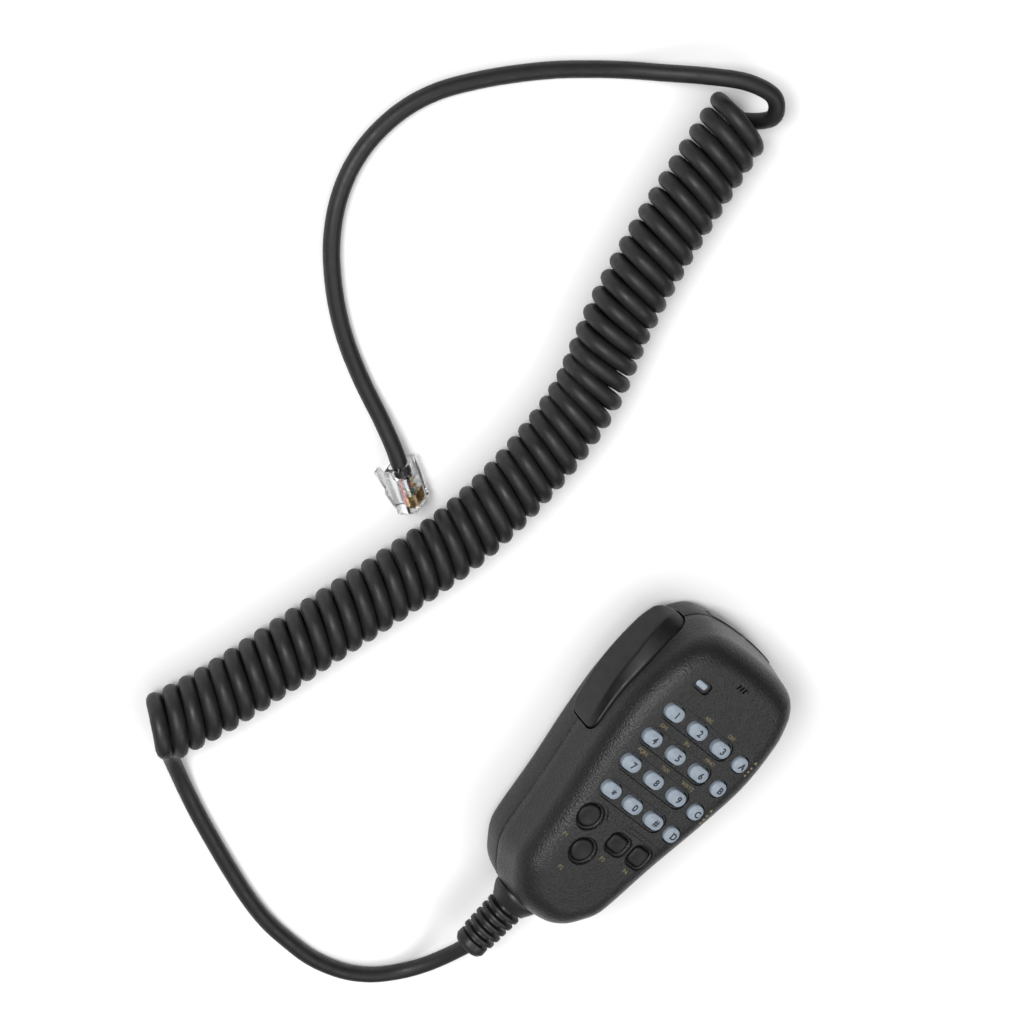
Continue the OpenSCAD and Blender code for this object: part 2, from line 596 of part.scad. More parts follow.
module plug_body() color("#dfe6ea", 0.5) plug_frame() difference() {
    translate([0, -plug_w / 2, -plug_h / 2]) cube([plug_l, plug_w, plug_h]);
    translate([-1, -2.8, -2.7]) cube([1 + jacket_in + 0.4, 5.6, 5.4]);
    translate([jacket_in, -3.1, -0.8]) cube([9, 6.2, 1.3]);
    for (i = [0 : 5]) translate([9.4, (i - 2.5) * pin_pitch - 0.22, 0.4]) cube([4.4, 0.44, 4]);
}
module plug_contacts() color("#c9a44a") plug_frame() for (i = [0 : 5])
    translate([9.8, (i - 2.5) * pin_pitch - 0.15, 0.42]) cube([3.6, 0.3, 2.45]);
module plug_wires() plug_frame() for (i = [0 : 5]) color(wire_colours[i])
    translate([jacket_in + 0.02, (i - 2.5) * pin_pitch, -0.2]) rotate([0, 90, 0])
    cylinder(r = 0.42, h = 8.4, $fn = 16);
module plug_latch() color("#dfe6ea", 0.5) plug_frame() translate([latch_x, 0, latch_z]) {
    rotate([90, 0, 0]) cylinder(r = latch_r, h = 6.8, center = true);
    rotate([0, -latch_angle, 0]) {
        translate([-5, -3.1, -0.5]) cube([5, 6.2, 1]);
        translate([-latch_l, -1.6, -0.5]) cube([latch_l - 4.5, 3.2, 1]);
    }
}

// ---------------------------------------------------------------- keys and programme buttons

crown_r = 16;
module key_cap(w, h, r, top) {
    intersection() {
        slab(w, h, r, flange_end, top);
        translate([0, 0, top - crown_r]) sphere(r = crown_r, $fn = 96);
    }
    slab(w + 2 * flange, h + 2 * flange, r + flange / 2, flange_end, flange_top);
}
module key(c, r) color("#cdd6e2") place() translate([key_x(c, r), key_y(r), 0])
    key_cap(c < 3 ? key_w : letter_w, c < 3 ? key_h : letter_w, key_r, face_z + key_proud);
module round_button(at) color("#1a1a1c") place() translate(at) {
    intersection() {
        rod(p_r, flange_end, p_top);
        translate([0, 0, p_top - crown_r]) sphere(r = crown_r, $fn = 96);
    }
    rod(p_r + flange, flange_end, flange_top);
}
module square_button(at, size) color("#1a1a1c") place() translate(at) {
    slab(size[0], size[1], 1.7, flange_end, p_top);
    slab(size[0] + 2 * 0.7, size[1] + 2 * 0.7, 2, flange_end, flange_top);
}

front_shell();
rear_shell();
shell_screws();
hanger_button();
hanger_screw();
main_board();
board_screws();
board_parts();
keypad_mat();
key_contacts();
backlight_leds();
status_led();
status_lens();
mic_capsule();
mic_boot();
mic_mesh();
side_boards();
ptt_switch();
ptt_plunger();
ptt_lever();
ptt_pin();
ptt_spring();
scan_switches();
up_button();
down_button();
slide_switch_frames();
lock_slider();
lamp_slider();
wire_plug();
harness_wires();
inner_jacket();
cord_clamp();
strain_relief();
cord_lead();
cord_coil();
cord_tail();
plug_body();
plug_contacts();
plug_wires();
plug_latch();
key(0, 0);  // key_1
key(1, 0);  // key_2
key(2, 0);  // key_3
key(3, 0);  // key_a
key(0, 1);  // key_4
key(1, 1);  // key_5
key(2, 1);  // key_6
key(3, 1);  // key_b
key(0, 2);  // key_7
key(1, 2);  // key_8
key(2, 2);  // key_9
key(3, 2);  // key_c
key(0, 3);  // key_star
key(1, 3);  // key_0
key(2, 3);  // key_hash
key(3, 3);  // key_d
round_button(p1_at);  // p1_button
round_button(p2_at);  // p2_button
square_button(p3_at, p3_size);  // p3_button
square_button(p4_at, p4_size);  // p4_button
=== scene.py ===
"""A hand microphone with a keypad, a talk lever and a curly cord, dressed around its packed CAD model."""

import json
import math
import random

import bmesh
import bpy
from bpy.props import FloatProperty, FloatVectorProperty, IntProperty, PointerProperty
from mathutils import Matrix, Vector
from mathutils.bvhtree import BVHTree


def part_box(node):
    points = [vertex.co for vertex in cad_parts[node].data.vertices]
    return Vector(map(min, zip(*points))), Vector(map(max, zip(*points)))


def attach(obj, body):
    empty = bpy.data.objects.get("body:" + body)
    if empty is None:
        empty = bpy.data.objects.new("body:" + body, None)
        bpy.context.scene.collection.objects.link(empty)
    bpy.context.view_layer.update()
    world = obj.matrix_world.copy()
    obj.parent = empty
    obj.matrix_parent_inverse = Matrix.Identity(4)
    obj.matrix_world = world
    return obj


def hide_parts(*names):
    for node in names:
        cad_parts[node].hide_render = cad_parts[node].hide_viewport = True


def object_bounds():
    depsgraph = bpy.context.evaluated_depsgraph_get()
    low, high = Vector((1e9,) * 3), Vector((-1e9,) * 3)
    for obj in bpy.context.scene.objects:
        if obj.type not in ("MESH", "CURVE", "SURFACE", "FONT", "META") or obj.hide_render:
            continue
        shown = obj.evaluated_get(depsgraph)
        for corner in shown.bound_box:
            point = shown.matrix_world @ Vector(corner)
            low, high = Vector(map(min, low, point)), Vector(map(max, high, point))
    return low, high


bl_info = {
    "name": "Hand microphone",
    "version": (1, 0, 0),
    "blender": (4, 5, 0),
    "location": "View3D > Sidebar > Microphone",
    "description": "Builds the visual model of a keypad hand microphone around its CAD frame",
    "category": "Add Mesh",
}

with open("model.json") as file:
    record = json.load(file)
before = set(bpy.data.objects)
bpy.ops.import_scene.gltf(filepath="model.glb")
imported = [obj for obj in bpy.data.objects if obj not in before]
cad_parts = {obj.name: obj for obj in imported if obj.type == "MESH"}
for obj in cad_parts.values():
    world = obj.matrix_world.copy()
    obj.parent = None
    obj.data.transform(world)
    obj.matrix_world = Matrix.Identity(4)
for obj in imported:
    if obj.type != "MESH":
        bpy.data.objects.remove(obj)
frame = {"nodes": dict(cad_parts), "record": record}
cad_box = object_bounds()

MM = 0.001

# The microphone is drawn in millimetres about its own centre line, as it lies on its back:
# X across the face, Y up the body, Z out of the face. PLACE takes that to the shared frame.
BUTTON_LOW, BUTTON_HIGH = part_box("hanger_button")
HANGER_Y = 19
HALF_OUTLINE = [(0, 51.4), (8, 51.1), (14.5, 50.1), (18.8, 48.4), (22.2, 45.2), (24.6, 41), (27, 33),
                (28.3, 17), (26.2, -1), (22.7, -21), (20.4, -38), (18.9, -44), (15.9, -48.6), (11.8, -53),
                (6.5, -55.7), (0, -56.4)]
AXIS_X = (BUTTON_LOW.x + BUTTON_HIGH.x) / 2
AXIS_Y = (BUTTON_LOW.y + BUTTON_HIGH.y) / 2 - HANGER_Y * MM
PLACE = Matrix.Translation((AXIS_X, AXIS_Y, 0)) @ Matrix.Scale(MM, 4)

KEYS = {"key_1": "1", "key_2": "2", "key_3": "3", "key_a": "A", "key_4": "4", "key_5": "5", "key_6": "6",
        "key_b": "B", "key_7": "7", "key_8": "8", "key_9": "9", "key_c": "C", "key_star": "*", "key_0": "0",
        "key_hash": "#", "key_d": "D"}
KEY_ROWS = [list(KEYS)[i:i + 4] for i in (0, 4, 8, 12)]
WIRE_COLOURS = {"pink": (0.62, 0.25, 0.27), "red": (0.45, 0.05, 0.04), "black": (0.012, 0.012, 0.014),
                "green": (0.02, 0.16, 0.11), "white": (0.75, 0.73, 0.68), "yellow": (0.5, 0.38, 0.1)}


# ------------------------------------------------------------------ properties

class CaseSizes(bpy.types.PropertyGroup):
    """Sizes of the case."""
    face: FloatProperty(name="Face", description="Height of the face above the surface", default=34 * MM,
                        unit="LENGTH")
    seam: FloatProperty(name="Parting line", description="Height of the parting line", default=13.5 * MM,
                        unit="LENGTH")
    back: FloatProperty(name="Back", description="Height of the back above the heel", default=4 * MM,
                        unit="LENGTH")
    wall: FloatProperty(name="Wall", description="Thickness of the walls", default=2 * MM, unit="LENGTH")
    shoulder: FloatProperty(name="Shoulder", description="Width of the rounded shoulder", default=8.6 * MM,
                            unit="LENGTH")


class KeypadSizes(bpy.types.PropertyGroup):
    """Sizes of the keys."""
    flange: FloatProperty(name="Flange", description="Width of a key's hidden edge", default=0.8 * MM,
                          unit="LENGTH")
    gap: FloatProperty(name="Gap", description="Gap round a key", default=0.35 * MM, unit="LENGTH")
    band: FloatProperty(name="Band", description="Depth of the band that a row of keys lies in",
                        default=0.6 * MM, unit="LENGTH")
    legend: FloatProperty(name="Legend", description="Letter size on the keys", default=3.1 * MM,
                          unit="LENGTH")


class CordSizes(bpy.types.PropertyGroup):
    """Sizes of the cord."""
    diameter: FloatProperty(name="Diameter", description="Diameter of the cord", default=4.9 * MM,
                            unit="LENGTH")
    turn: FloatProperty(name="Turn", description="Radius of a turn at the cord's middle", default=8.1 * MM,
                        unit="LENGTH")
    turns: IntProperty(name="Turns", description="Number of turns in the curly part", default=48)
    lean: FloatProperty(name="Lean", description="How far each turn leans along the coil", default=1.6 * MM,
                        unit="LENGTH")


class Finishes(bpy.types.PropertyGroup):
    """Colours of the pieces that show."""
    case: FloatVectorProperty(name="Case", description="Colour of the case", subtype="COLOR", size=3,
                              default=(0.010, 0.010, 0.011))
    lever: FloatVectorProperty(name="Lever", description="Colour of the talk lever", subtype="COLOR",
                               size=3, default=(0.005, 0.005, 0.0055))
    key: FloatVectorProperty(name="Keys", description="Colour of the keys", subtype="COLOR", size=3,
                             default=(0.26, 0.305, 0.355))
    cord: FloatVectorProperty(name="Cord", description="Colour of the cord", subtype="COLOR", size=3,
                              default=(0.010, 0.010, 0.0105))
    label: FloatVectorProperty(name="Labels", description="Colour of the printing on the face",
                               subtype="COLOR", size=3, default=(0.17, 0.14, 0.06))


class Studio(bpy.types.PropertyGroup):
    """Camera and light."""
    distance: FloatProperty(name="Distance", description="Distance from the camera to its aim",
                            default=0.7293, unit="LENGTH")
    tilt: FloatProperty(name="Tilt", description="Angle of the view from straight down",
                        default=math.radians(29.6), subtype="ANGLE")
    heading: FloatProperty(name="Heading", description="Side that the camera looks from",
                           default=math.radians(171.2), subtype="ANGLE")
    roll: FloatProperty(name="Roll", description="Turn of the picture", default=math.radians(41.5),
                        subtype="ANGLE")
    lens: FloatProperty(name="Lens", description="Focal length in millimetres", default=85.85)
    overhead: FloatProperty(name="Overhead", description="Strength of the light from above", default=1.08)
    horizon: FloatProperty(name="Horizon", description="Strength of the light from the sides", default=0.06)
    key_light: FloatProperty(name="Key light", description="Power of the large soft light", default=9.5)


GROUPS = {"mic_case": CaseSizes, "mic_keypad": KeypadSizes, "mic_cord": CordSizes, "mic_finishes": Finishes,
          "mic_studio": Studio}


# ------------------------------------------------------------------ curves and outlines

def between(a, b, c, d, t):
    """The point at t from b to c on a smooth curve through a, b, c and d."""
    return 0.5 * (2 * b + (c - a) * t + (2 * a - 5 * b + 4 * c - d) * t ** 2
                  + (3 * b - a - 3 * c + d) * t ** 3)


def closed_curve(points, steps):
    """A smooth closed curve through the points."""
    p = [Vector(q) for q in points]
    n = len(p)
    return [between(p[i - 1], p[i], p[(i + 1) % n], p[(i + 2) % n], k / steps)
            for i in range(n) for k in range(steps)]


def open_curve(points, steps):
    """A smooth open curve through the points."""
    p = [Vector(q) for q in points]
    last = len(p) - 1
    curve = [between(p[max(i - 1, 0)], p[i], p[i + 1], p[min(i + 2, last)], k / steps)
             for i in range(last) for k in range(steps)]
    return curve + [p[last]]


def fillet(points, radius, steps=4, closed=False):
    """The path with each of its corners rounded."""
    p = [Vector(q) for q in points]
    n = len(p)
    out = []
    for i, corner in enumerate(p):
        if not closed and i in (0, n - 1):
            out.append(corner)
            continue
        to_last, to_next = p[i - 1] - corner, p[(i + 1) % n] - corner
        a = corner + to_last.normalized() * min(radius, 0.45 * to_last.length)
        b = corner + to_next.normalized() * min(radius, 0.45 * to_next.length)
        for k in range(steps + 1):
            t = k / steps
            out.append((1 - t) ** 2 * a + 2 * t * (1 - t) * corner + t * t * b)
    return out


def rounded(w, h, r, steps=7):
    """A rectangle with round corners, anticlockwise about its middle."""
    r = max(min(r, w / 2 - 0.01, h / 2 - 0.01), 0.02)
    corners = [(w / 2 - r, h / 2 - r, 0), (r - w / 2, h / 2 - r, 90), (r - w / 2, r - h / 2, 180),
               (w / 2 - r, r - h / 2, 270)]
    angles = [(x, y, math.radians(a + 90 * k / steps)) for x, y, a in corners for k in range(steps + 1)]
    return [Vector((x + r * math.cos(a), y + r * math.sin(a))) for x, y, a in angles]


def ring_at(outline, z):
    """A flat outline as a level ring."""
    return [Vector((p.x, p.y, z)) for p in outline]


OUTLINE_STEPS = 9
OUTLINE = closed_curve(HALF_OUTLINE + [(-x, y) for x, y in HALF_OUTLINE[-2:0:-1]], OUTLINE_STEPS)[::-1]
OUTLINE = OUTLINE[-1:] + OUTLINE[:-1]


def inset(distance):
    """The case's outline, moved inwards."""
    n = len(OUTLINE)
    ring = []
    for i, p in enumerate(OUTLINE):
        along = (OUTLINE[(i + 1) % n] - OUTLINE[i - 1]).normalized()
        ring.append(p + Vector((-along.y, along.x)) * distance)
    return ring


def read_off(points, at):
    """The second number at a place on a line through (first, second) pairs."""
    line = sorted(points)
    for (a, low), (b, high) in zip(line, line[1:]):
        if a <= at <= b:
            return low + (high - low) * (at - a) / max(b - a, 1e-6)
    return 0.0


def case_half_width(y):
    """Half of the case's width at a height up the body."""
    return read_off([(p.y, p.x) for p in OUTLINE if p.x >= 0], y)


def case_top_edge(x):
    """Height of the case's top end at a place across it."""
    return read_off([(p.x, p.y) for p in OUTLINE if p.y > 30], x)


def ease(t):
    """A smooth step from 0 to 1."""
    t = min(max(t, 0), 1)
    return t * t * (3 - 2 * t)


def cad_centre(node):
    """Middle and size of a CAD node in the microphone's own millimetres."""
    low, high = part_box(node)
    low, high = PLACE.inverted() @ low, PLACE.inverted() @ high
    return (low + high) / 2, high - low


# ------------------------------------------------------------------ meshes

def loft(mesh, rings, ends=True, strips=False):
    """Adds a skin over rings of equal point count, with closed ends."""
    rows = [[mesh.verts.new(p) for p in ring] for ring in rings]
    n = len(rows[0])
    for low, high in zip(rows, rows[1:]):
        for i in range(n):
            j = (i + 1) % n
            mesh.faces.new((low[i], low[j], high[j], high[i]))
    if strips:
        for row, up in ((rows[0], False), (rows[-1], True)):
            for i in range(n // 2):
                corners = []
                for v in (row[i], row[i + 1], row[(n - i - 1) % n], row[(n - i) % n]):
                    if v not in corners:
                        corners.append(v)
                mesh.faces.new(corners if up else corners[::-1])
    elif ends:
        mesh.faces.new(rows[0][::-1])
        mesh.faces.new(rows[-1])


def raised(mesh, outline_of, profile, at=(0, 0), turn=0.0):
    """Adds a solid whose outline grows and shrinks with height: profile lists (growth, height)."""
    spin = Matrix.Rotation(turn, 2)
    rings = []
    for growth, z in profile:
        flat = [spin @ p + Vector(at) for p in outline_of(growth)]
        rings.append(ring_at(flat, z))
    loft(mesh, rings)


def lathe(mesh, profile, turn_frame, segments=72):
    """Adds a solid of revolution about Z: profile lists (radius, height) from axis to axis."""
    rows = []
    for r, z in profile:
        if r < 1e-4:
            rows.append([mesh.verts.new(turn_frame @ Vector((0, 0, z)))])
            continue
        rows.append([mesh.verts.new(turn_frame @ Vector((r * math.cos(a), r * math.sin(a), z)))
                     for a in (2 * math.pi * k / segments for k in range(segments))])
    for low, high in zip(rows, rows[1:]):
        for i in range(segments):
            j = (i + 1) % segments
            corners = [low[i % len(low)], low[j % len(low)], high[j % len(high)], high[i % len(high)]]
            corners = [v for k, v in enumerate(corners) if v not in corners[:k]]
            if len(corners) > 2:
                mesh.faces.new(corners)


def tube(mesh, path, radius, sides=12):
    """Adds a round tube along a path."""
    rings = []
    side = None
    for i, p in enumerate(path):
        along = (path[min(i + 1, len(path) - 1)] - path[max(i - 1, 0)]).normalized()
        side = along.orthogonal() if side is None else side
        side = (side - along * side.dot(along)).normalized()
        other = along.cross(side)
        rings.append([p + radius * (math.cos(a) * side + math.sin(a) * other)
                      for a in (2 * math.pi * k / sides for k in range(sides))])
    loft(mesh, rings)


def box(mesh, low, high, bevel=0.0):
    """Adds a block between two corners, with softened edges."""
    made = bmesh.ops.create_cube(mesh, size=1)["verts"]
    low, high = Vector(low), Vector(high)
    for v in made:
        v.co = Vector([(low[k] + high[k]) / 2 + v.co[k] * (high[k] - low[k]) for k in range(3)])
    if bevel:
        edges = list({e for v in made for e in v.link_edges})
        bmesh.ops.bevel(mesh, geom=edges, offset=bevel, segments=3, profile=0.5, affect="EDGES")


def solid(name, mesh):
    """A scene object from a mesh under construction, with its faces turned outwards."""
    bmesh.ops.recalc_face_normals(mesh, faces=mesh.faces)
    data = bpy.data.meshes.new(name)
    mesh.to_mesh(data)
    mesh.free()
    piece = bpy.data.objects.new(name, data)
    bpy.context.scene.collection.objects.link(piece)
    return piece


def cut(piece, *cutters):
    """Takes each cutter away from the piece, one after the other."""
    for cutter in cutters:
        tool = solid("cutter", cutter)
        change = piece.modifiers.new("cut", "BOOLEAN")
        change.object, change.solver, change.operation = tool, "EXACT", "DIFFERENCE"
        change.use_self = False
        evaluated = piece.evaluated_get(bpy.context.evaluated_depsgraph_get())
        data = bpy.data.meshes.new_from_object(evaluated)
        piece.modifiers.clear()
        piece.data = data
        bpy.data.objects.remove(tool)


def finish_piece(piece, body, material, replaces=(), matrix=PLACE, sharp=38):
    """Puts the piece in the shared frame with its material, and lets it ride on its body."""
    piece.data.transform(matrix)
    piece.data.materials.clear()
    piece.data.materials.append(material)
    for face in piece.data.polygons:
        face.use_smooth = True
    piece.data.set_sharp_from_angle(angle=math.radians(sharp))
    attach(piece, body)
    if replaces:
        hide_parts(*replaces)
    return piece


# ------------------------------------------------------------------ materials

class Finish:
    """A procedural material under construction. Sizes are in millimetres."""

    def __init__(self, name, colour, roughness, metallic=0.0, ior=1.46):
        self.material = bpy.data.materials.new(name)
        self.material.use_nodes = True
        self.tree = self.material.node_tree
        self.shader = self.tree.nodes["Principled BSDF"]
        self.colour = Vector(colour[:3])
        self.set("Base Color", (*self.colour, 1))
        self.set("Roughness", roughness)
        self.set("Metallic", metallic)
        self.set("IOR", ior)
        self.place = self.tree.nodes.new("ShaderNodeTexCoord").outputs["Object"]

    def set(self, name, value):
        """Sets one of the shader's values."""
        self.shader.inputs[name].default_value = value

    def noise(self, size, detail=2.0, roughness=0.5):
        """A soft random pattern with features of about this size."""
        node = self.tree.nodes.new("ShaderNodeTexNoise")
        node.inputs["Scale"].default_value = 1 / (size * MM)
        node.inputs["Detail"].default_value = detail
        node.inputs["Roughness"].default_value = roughness
        self.tree.links.new(self.place, node.inputs["Vector"])
        return node.outputs["Fac"]

    def cells(self, size):
        """A pattern of small round cells."""
        node = self.tree.nodes.new("ShaderNodeTexVoronoi")
        node.feature = "SMOOTH_F1"
        node.inputs["Scale"].default_value = 1 / (size * MM)
        self.tree.links.new(self.place, node.inputs["Vector"])
        return node.outputs["Distance"]

    def spread(self, pattern, low, high, start=0.35, end=0.65):
        """The pattern stretched to run from low to high."""
        node = self.tree.nodes.new("ShaderNodeMapRange")
        node.inputs["From Min"].default_value = start
        node.inputs["From Max"].default_value = end
        node.inputs["To Min"].default_value = low
        node.inputs["To Max"].default_value = high
        self.tree.links.new(pattern, node.inputs["Value"])
        return node.outputs["Result"]

    def vary(self, name, pattern, low, high):
        """Lets one of the shader's values follow the pattern."""
        self.tree.links.new(self.spread(pattern, low, high), self.shader.inputs[name])

    def mottle(self, pattern, dark=0.85, light=1.15):
        """Lets the colour vary with the pattern, from dark to light times itself."""
        node = self.tree.nodes.new("ShaderNodeMix")
        node.data_type = "RGBA"
        node.inputs["A"].default_value = (*(self.colour * dark), 1)
        node.inputs["B"].default_value = (*(self.colour * light), 1)
        self.tree.links.new(self.spread(pattern, 0, 1), node.inputs["Factor"])
        self.tree.links.new(node.outputs["Result"], self.shader.inputs["Base Color"])

    def bump(self, pattern, depth, strength=1.0):
        """Adds relief of this depth."""
        node = self.tree.nodes.new("ShaderNodeBump")
        node.inputs["Distance"].default_value = depth * MM
        node.inputs["Strength"].default_value = strength
        self.tree.links.new(pattern, node.inputs["Height"])
        old = self.shader.inputs["Normal"].links
        if old:
            self.tree.links.new(old[0].from_socket, node.inputs["Normal"])
        self.tree.links.new(node.outputs["Normal"], self.shader.inputs["Normal"])


def grained_plastic(name, colour):
    """Hard plastic with a coarse moulded grain, worn a little smoother on its high spots."""
    f = Finish(name, colour, 0.36, ior=1.4)
    grain = f.noise(0.6, detail=3.0, roughness=0.55)
    f.bump(f.cells(0.7), 0.1, 0.6)
    f.bump(grain, 0.24, 1.0)
    f.vary("Roughness", grain, 0.42, 0.27)
    f.mottle(f.noise(9, detail=4), 0.9, 1.12)
    return f.material


def satin_plastic(name, colour, grain=0.03, roughness=0.42):
    """Smooth moulded plastic with a fine satin skin."""
    f = Finish(name, colour, roughness, ior=1.4)
    f.bump(f.noise(0.25, detail=3.0), grain, 0.5)
    f.vary("Roughness", f.noise(3.5, detail=3.0), roughness - 0.06, roughness + 0.06)
    f.mottle(f.noise(7, detail=4), 0.9, 1.12)
    return f.material


def silicone(name, colour, glow=0.35):
    """Milky translucent silicone."""
    f = Finish(name, colour, 0.45, ior=1.41)
    f.set("Subsurface Weight", glow)
    f.set("Subsurface Radius", (0.8, 0.9, 1.0))
    f.set("Subsurface Scale", 0.8 * MM)
    f.mottle(f.noise(1.6, detail=3.0), 0.94, 1.05)
    f.vary("Roughness", f.noise(0.8), 0.4, 0.52)
    f.bump(f.noise(0.35), 0.012, 0.4)
    return f.material


def soft_rubber(name, colour, roughness=0.52):
    """Matt black jacket or boot, with a faint bloom on it."""
    f = Finish(name, colour, roughness, ior=1.43)
    f.mottle(f.noise(6, detail=5.0), 0.85, 1.2)
    f.vary("Roughness", f.noise(2.4, detail=4.0), roughness - 0.07, roughness + 0.07)
    f.bump(f.noise(0.3, detail=3.0), 0.015, 0.5)
    return f.material


def printing(name, colour):
    """A thin layer of ink, a little worn."""
    f = Finish(name, colour, 0.5)
    f.mottle(f.noise(0.5, detail=4.0), 0.7, 1.15)
    f.bump(f.noise(0.2), 0.006, 0.4)
    return f.material


def bare_metal(name, colour, roughness=0.28):
    """Plated or stamped metal with fine scratches."""
    f = Finish(name, colour, roughness, metallic=1.0)
    f.vary("Roughness", f.noise(1.2, detail=5.0), roughness - 0.07, roughness + 0.1)
    f.mottle(f.noise(2.5, detail=4.0), 0.88, 1.05)
    f.bump(f.noise(0.3, detail=4.0), 0.006, 0.4)
    return f.material


def circuit_board(name, colour):
    """Green solder mask with the copper's pattern under it."""
    f = Finish(name, colour, 0.3)
    tracks = f.noise(1.4, detail=0.0)
    f.mottle(tracks, 0.7, 1.35)
    f.bump(f.spread(tracks, 0, 1, 0.48, 0.52), 0.02, 0.5)
    f.vary("Roughness", f.noise(4), 0.24, 0.36)
    return f.material


def clear_plastic(name):
    """Clear moulded plastic."""
    f = Finish(name, (0.98, 0.985, 0.99), 0.04, ior=1.22)
    f.set("Transmission Weight", 1)
    f.vary("Roughness", f.noise(1.5, detail=3.0), 0.02, 0.08)
    f.bump(f.noise(1.8), 0.02, 0.35)
    return f.material


def woven_cloth(name, colour):
    """Thin woven dust cloth."""
    f = Finish(name, colour, 0.9)
    f.set("Sheen Weight", 0.3)
    f.mottle(f.cells(0.3), 0.7, 1.2)
    f.bump(f.cells(0.3), 0.05)
    return f.material


MATERIALS = {}


def make_materials():
    """Makes each finish once, by its slot's name."""
    colours = bpy.context.scene.mic_finishes
    MATERIALS.update(
        case_plastic=grained_plastic("case_plastic", colours.case),
        lever_plastic=satin_plastic("lever_plastic", colours.lever, grain=0.035, roughness=0.44),
        button_plastic=satin_plastic("button_plastic", (0.004, 0.004, 0.0045), roughness=0.55),
        key_silicone=silicone("key_silicone", colours.key),
        mat_silicone=silicone("mat_silicone", (0.7, 0.73, 0.76)),
        key_ink=printing("key_ink", (0.008, 0.009, 0.018)),
        label_ink=printing("label_ink", colours.label),
        steel=bare_metal("steel", (0.5, 0.5, 0.52), 0.32),
        hanger_metal=bare_metal("hanger_metal", (0.66, 0.65, 0.62), 0.2),
        board=circuit_board("board", (0.02, 0.1, 0.045)),
        component_plastic=satin_plastic("component_plastic", (0.02, 0.02, 0.022)),
        contact_rubber=soft_rubber("contact_rubber", (0.03, 0.03, 0.03)),
        led=satin_plastic("led", (0.7, 0.68, 0.5), grain=0.01, roughness=0.3),
        lens=silicone("lens", (0.27, 0.32, 0.37), 0.3),
        capsule_metal=bare_metal("capsule_metal", (0.62, 0.62, 0.63), 0.34),
        mesh_cloth=woven_cloth("mesh_cloth", (0.04, 0.04, 0.045)),
        nylon=satin_plastic("nylon", (0.7, 0.68, 0.6), grain=0.02, roughness=0.45),
        cord_rubber=soft_rubber("cord_rubber", colours.cord),
        clear_plastic=clear_plastic("clear_plastic"),
        gold=bare_metal("gold", (0.75, 0.52, 0.2), 0.25),
        wire_pvc=satin_plastic("wire_pvc", (0.4, 0.06, 0.05), grain=0.01, roughness=0.35),
    )


# ------------------------------------------------------------------ camera, light and floor

def build_camera():
    """Sets the camera above the cord, looking down past it to the microphone's left side."""
    studio = bpy.context.scene.mic_studio
    aim = PLACE @ Vector((-84.2, 35.25, 0))
    back = Vector((math.sin(studio.tilt) * math.cos(studio.heading),
                   math.sin(studio.tilt) * math.sin(studio.heading), math.cos(studio.tilt)))
    level = Vector((0, 1, 0)).cross(back).normalized()
    up = back.cross(level)
    right = math.cos(studio.roll) * level + math.sin(studio.roll) * up
    turned = Matrix((right, back.cross(right), back)).transposed().to_4x4()
    data = bpy.data.cameras.new("camera")
    data.lens, data.sensor_width = studio.lens, 36
    data.clip_start, data.clip_end = 0.01, 50
    camera = bpy.data.objects.new("camera", data)
    camera.matrix_world = Matrix.Translation(aim + back * studio.distance) @ turned
    bpy.context.scene.collection.objects.link(camera)
    bpy.context.scene.camera = camera


def soft_light(name, at, aim, size, power):
    """A large square light."""
    data = bpy.data.lights.new(name, "AREA")
    data.shape, data.size, data.energy = "SQUARE", size, power
    light = bpy.data.objects.new(name, data)
    light.location = at
    light.rotation_euler = (Vector(at) - Vector(aim)).to_track_quat("Z", "Y").to_euler()
    bpy.context.scene.collection.objects.link(light)


def build_stage():
    """A pale floor, an even surround and soft lights."""
    studio = bpy.context.scene.mic_studio
    middle = (cad_box[0] + cad_box[1]) / 2
    mesh = bmesh.new()
    bmesh.ops.create_grid(mesh, x_segments=2, y_segments=2, size=4)
    floor = solid("floor", mesh)
    floor.location = (middle.x, middle.y, -0.05 * MM)
    paper = Finish("floor_paper", (0.9, 0.9, 0.9), 0.85)
    paper.mottle(paper.noise(40, detail=3.0), 0.995, 1.005)
    floor.data.materials.append(paper.material)
    world = bpy.data.worlds.new("surround")
    world.use_nodes = True
    tree = world.node_tree
    background = tree.nodes["Background"]
    background.inputs["Color"].default_value = (1, 1, 1, 1)
    lit_side = tree.nodes.new("ShaderNodeVectorMath")
    lit_side.operation = "DOT_PRODUCT"
    lit_side.inputs[1].default_value = Vector((-0.1, -0.15, 1)).normalized()
    tree.links.new(tree.nodes.new("ShaderNodeTexCoord").outputs["Generated"], lit_side.inputs[0])
    rise = tree.nodes.new("ShaderNodeMapRange")
    rise.interpolation_type = "SMOOTHSTEP"
    for name, value in (("From Min", 0.5), ("From Max", 0.95), ("To Min", studio.horizon),
                        ("To Max", studio.overhead)):
        rise.inputs[name].default_value = value
    tree.links.new(lit_side.outputs["Value"], rise.inputs["Value"])
    tree.links.new(rise.outputs["Result"], background.inputs["Strength"])
    bpy.context.scene.world = world
    bpy.context.scene.view_settings.view_transform = "Standard"
    soft_light("key_light", (middle.x - 0.65, middle.y - 0.1, 0.88), middle, 0.36, studio.key_light)
    soft_light("top_light", (middle.x + 0.7, middle.y - 0.1, 1.1), middle, 0.7, studio.key_light * 0.4)


# ------------------------------------------------------------------ cord

